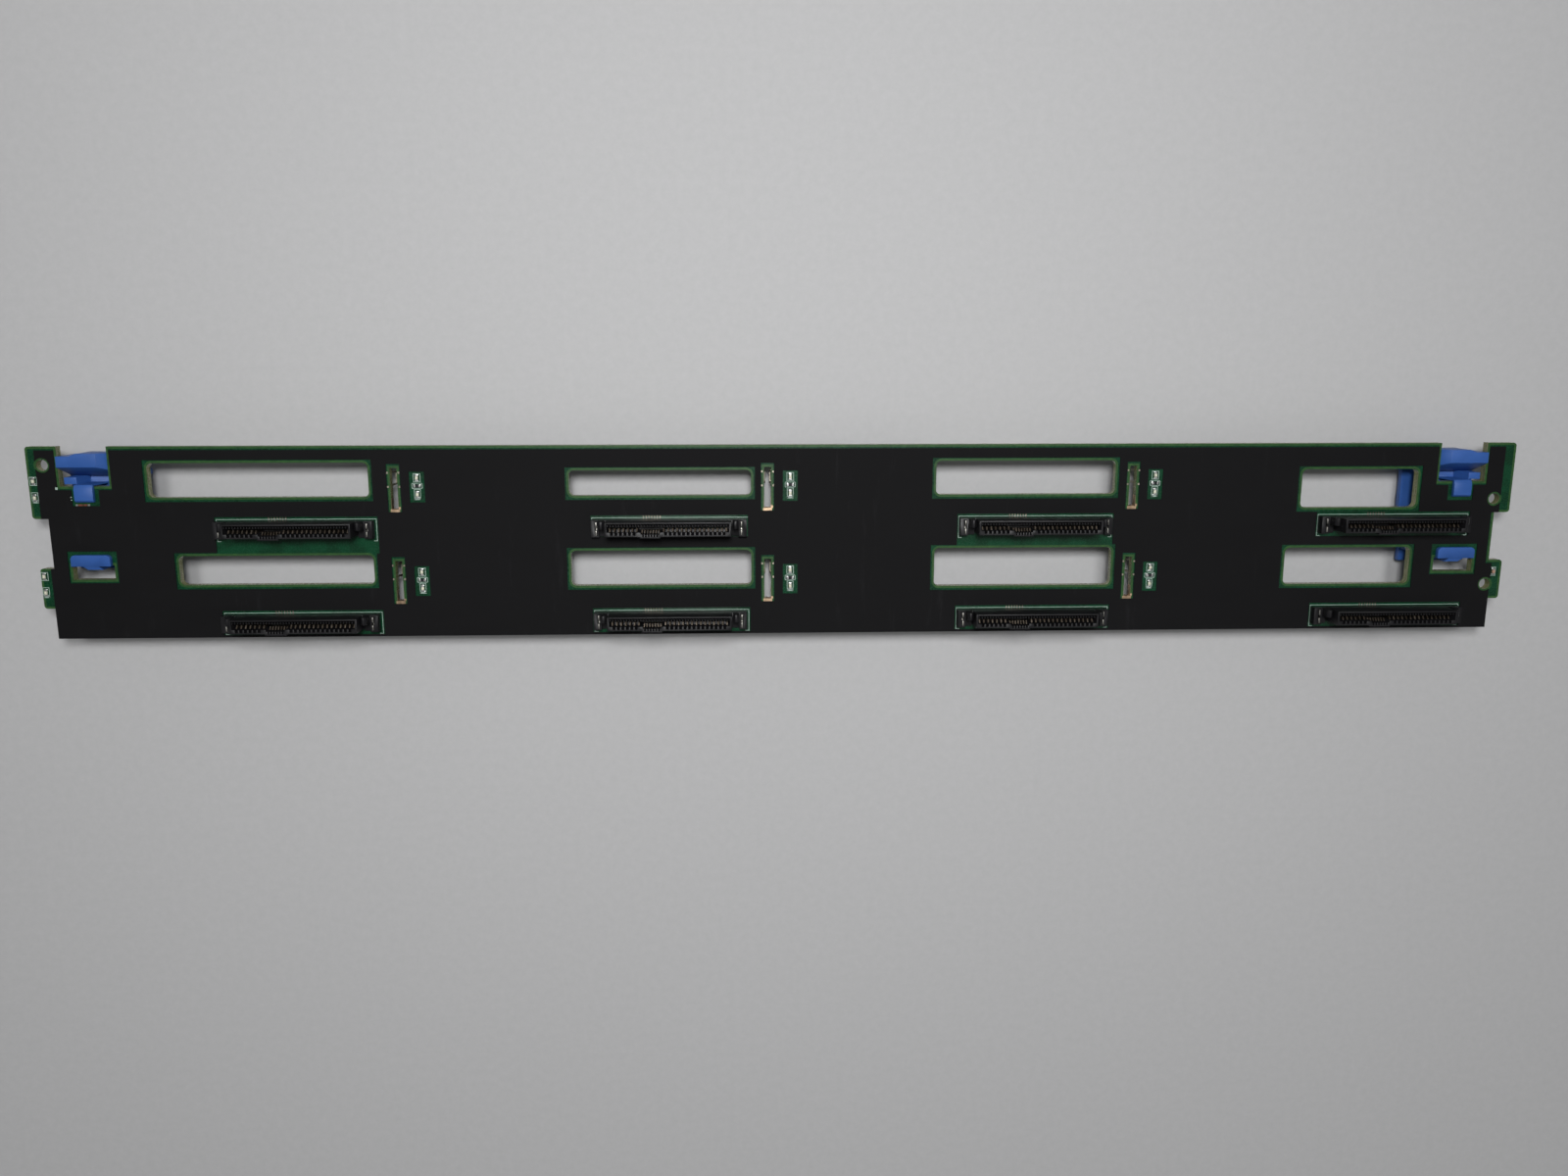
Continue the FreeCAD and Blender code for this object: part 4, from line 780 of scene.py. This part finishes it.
def makeSmallParts():
    size = chipSizes
    light = addChipPart("light", size["height"], lightResin)
    lens = addBlock("lens", -size["lensHalfWidth"], size["lensHalfWidth"], -size["lensHalfLength"],
                    size["lensHalfLength"], size["lensFrom"], size["lensTop"])
    paint(softenEdges(lens, size["lensEdge"], 2), lightResin)
    light = joinPieces("light", [light, lens])
    resistor = addChipPart("resistor", size["height"], resistorBlack)
    resistor.data.transform(Matrix.Rotation(math.radians(90), 4, "Z"))
    upperLights, lowerLights, resistors = [], [], []
    for x, upper, lower, resistorY in lightPlaces():
        upperLights.append(copyPiece(light, "activityLight", (x, upper, boardFront)))
        lowerLights.append(copyPiece(light, "statusLight", (x, lower, boardFront)))
        if resistorY is not None:
            resistors.append(copyPiece(resistor, "lightResistor", (x, resistorY, boardFront)))
    capacitor = addChipPart("capacitor", size["capacitorHeight"], ceramicTan)
    capacitor.data.transform(Matrix.Translation((*middleOf("edge_capacitor"), boardFront)))
    for name, parts, nodeName, slotName in (
        ("activityLights", upperLights, "activity_lights", "light"),
        ("statusLights", lowerLights, "status_lights", "light"),
        ("lightResistors", resistors, "light_resistors", "resistor"),
        ("edgeCapacitor", [capacitor], "edge_capacitor", "ceramic"),
    ):
        piece = finishPiece(joinPieces(name, parts))
        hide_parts(nodeName)
    for leftover in (light, resistor):
        bpy.data.objects.remove(leftover)


makeSmallParts()
print("small parts made")

# inside each drive socket: the comb of the plain wall, and the solder at the fine contacts' feet
combSizes = {
    "first": -17.0 * mm,
    "pitch": 0.8 * mm,
    "count": 43,
    "toothWidth": 0.38 * mm,
    "wallFace": 1.625 * mm,
    "depth": 0.5 * mm,
    "floor": 1.6 * mm,
    "top": 8.35 * mm,
    "edge": 0.05 * mm,
}
solderSizes = {
    "middle": -5.05 * mm,
    "pitch": 0.8 * mm,
    "count": 7,
    "width": 0.36 * mm,
    "from": 2.45 * mm,
    "to": 2.85 * mm,
    "height": 0.26 * mm,
    "edge": 0.1 * mm,
}


def repeatAlong(piece, size):
    return applyModifier(piece, "ARRAY", count=size["count"], use_relative_offset=False,
                         use_constant_offset=True, constant_offset_displace=(size["pitch"], 0, 0))


def makeSocketDetail():
    size = combSizes
    half = size["toothWidth"] / 2
    tooth = addBlock("combTooth", size["first"] - half, size["first"] + half,
                     size["wallFace"] - size["depth"], size["wallFace"], size["floor"], size["top"])
    repeatAlong(softenEdges(tooth, size["edge"], 1), size)
    size = solderSizes
    half = size["width"] / 2
    first = size["middle"] - size["pitch"] * (size["count"] - 1) / 2
    bead = addBlock("solderBead", first - half, first + half, size["from"], size["to"],
                    0, size["height"])
    repeatAlong(softenEdges(bead, size["edge"], 2), size)
    for number, name in enumerate(socketNames, start=1):
        place = socketPlace(name)
        comb = copyPiece(tooth, f"socketComb{number}", place)
        finishPiece(paint(comb, socketBlack))
        solder = copyPiece(bead, f"contactSolder{number}", place)
        finishPiece(paint(solder, holdownTin))
    for leftover in (tooth, bead):
        bpy.data.objects.remove(leftover)


makeSocketDetail()
print("socket detail made")

# floor, light and camera
stageLook = {
    "floor": (0.46, 0.46, 0.465),
    "floorDarker": 0.94,
    "floorRoughness": 0.75,
    "floorSize": 6.0,
    "speckleScale": 420,
    "world": 0.16,
    "softLights": {  # place, size, power
        "keyLight": ((-0.01, 0.15, 0.47), 0.09, 1.6),
        "fillLight": ((0.6, -0.7, 1.1), 1.2, 1.0),
    },
    "evenPlace": (0, 0.3, 1.0),
    "evenPower": 0.9,
    "evenSpread": math.radians(14),
}
cameraLook = {
    "place": (-0.0143, 0.0553, 0.3634),
    "turn": (0.195837, 0.0372607, 0.00700168),
    "lens": 27.99,
    "sensor": 36,
    "nearest": 0.01,
}


def addLamp(name, kind, place, power):  # shines at the middle of the part
    clearSelection()
    bpy.ops.object.light_add(type=kind, location=place)
    lamp = bpy.context.object
    lamp.name = name
    lamp.data.energy = power
    lamp.rotation_euler = Vector(place).to_track_quat("Z", "Y").to_euler()
    return lamp


def makeStage():
    look = stageLook
    clearSelection()
    bpy.ops.mesh.primitive_plane_add(size=look["floorSize"], location=(0, 0, 0))
    floor = bpy.context.object
    floor.name = "floor"
    material, tree, surface = newMaterial("paleFloor", Roughness=look["floorRoughness"])
    speckle = addNoise(tree, look["speckleScale"], 4, 0.7)
    tint = tuple(v * look["floorDarker"] for v in look["floor"])
    shade = addRamp(tree, speckle, [(0.3, tint), (0.7, look["floor"])])
    tree.links.new(shade, surface.inputs["Base Color"])
    paint(floor, material)
    world = bpy.data.worlds.new("softRoom")
    world.use_nodes = True
    world.node_tree.nodes["Background"].inputs["Color"].default_value = (1, 1, 1, 1)
    world.node_tree.nodes["Background"].inputs["Strength"].default_value = look["world"]
    bpy.context.scene.world = world
    for name, (place, size, power) in look["softLights"].items():
        lamp = addLamp(name, "AREA", place, power)
        lamp.data.size = size
        lamp.visible_camera = False
    even = addLamp("evenLight", "SUN", look["evenPlace"], look["evenPower"])
    even.data.angle = look["evenSpread"]


def makeCamera():
    look = cameraLook
    clearSelection()
    bpy.ops.object.camera_add(location=look["place"])
    camera = bpy.context.object
    camera.name = "mainView"
    camera.rotation_euler = Euler(look["turn"], "XYZ").to_matrix().transposed().to_euler()
    camera.data.lens = look["lens"]
    camera.data.sensor_width = look["sensor"]
    camera.data.clip_start = look["nearest"]
    bpy.context.scene.camera = camera
    bpy.context.scene.view_settings.view_transform = "Standard"


makeStage()
makeCamera()
print("stage and camera made")
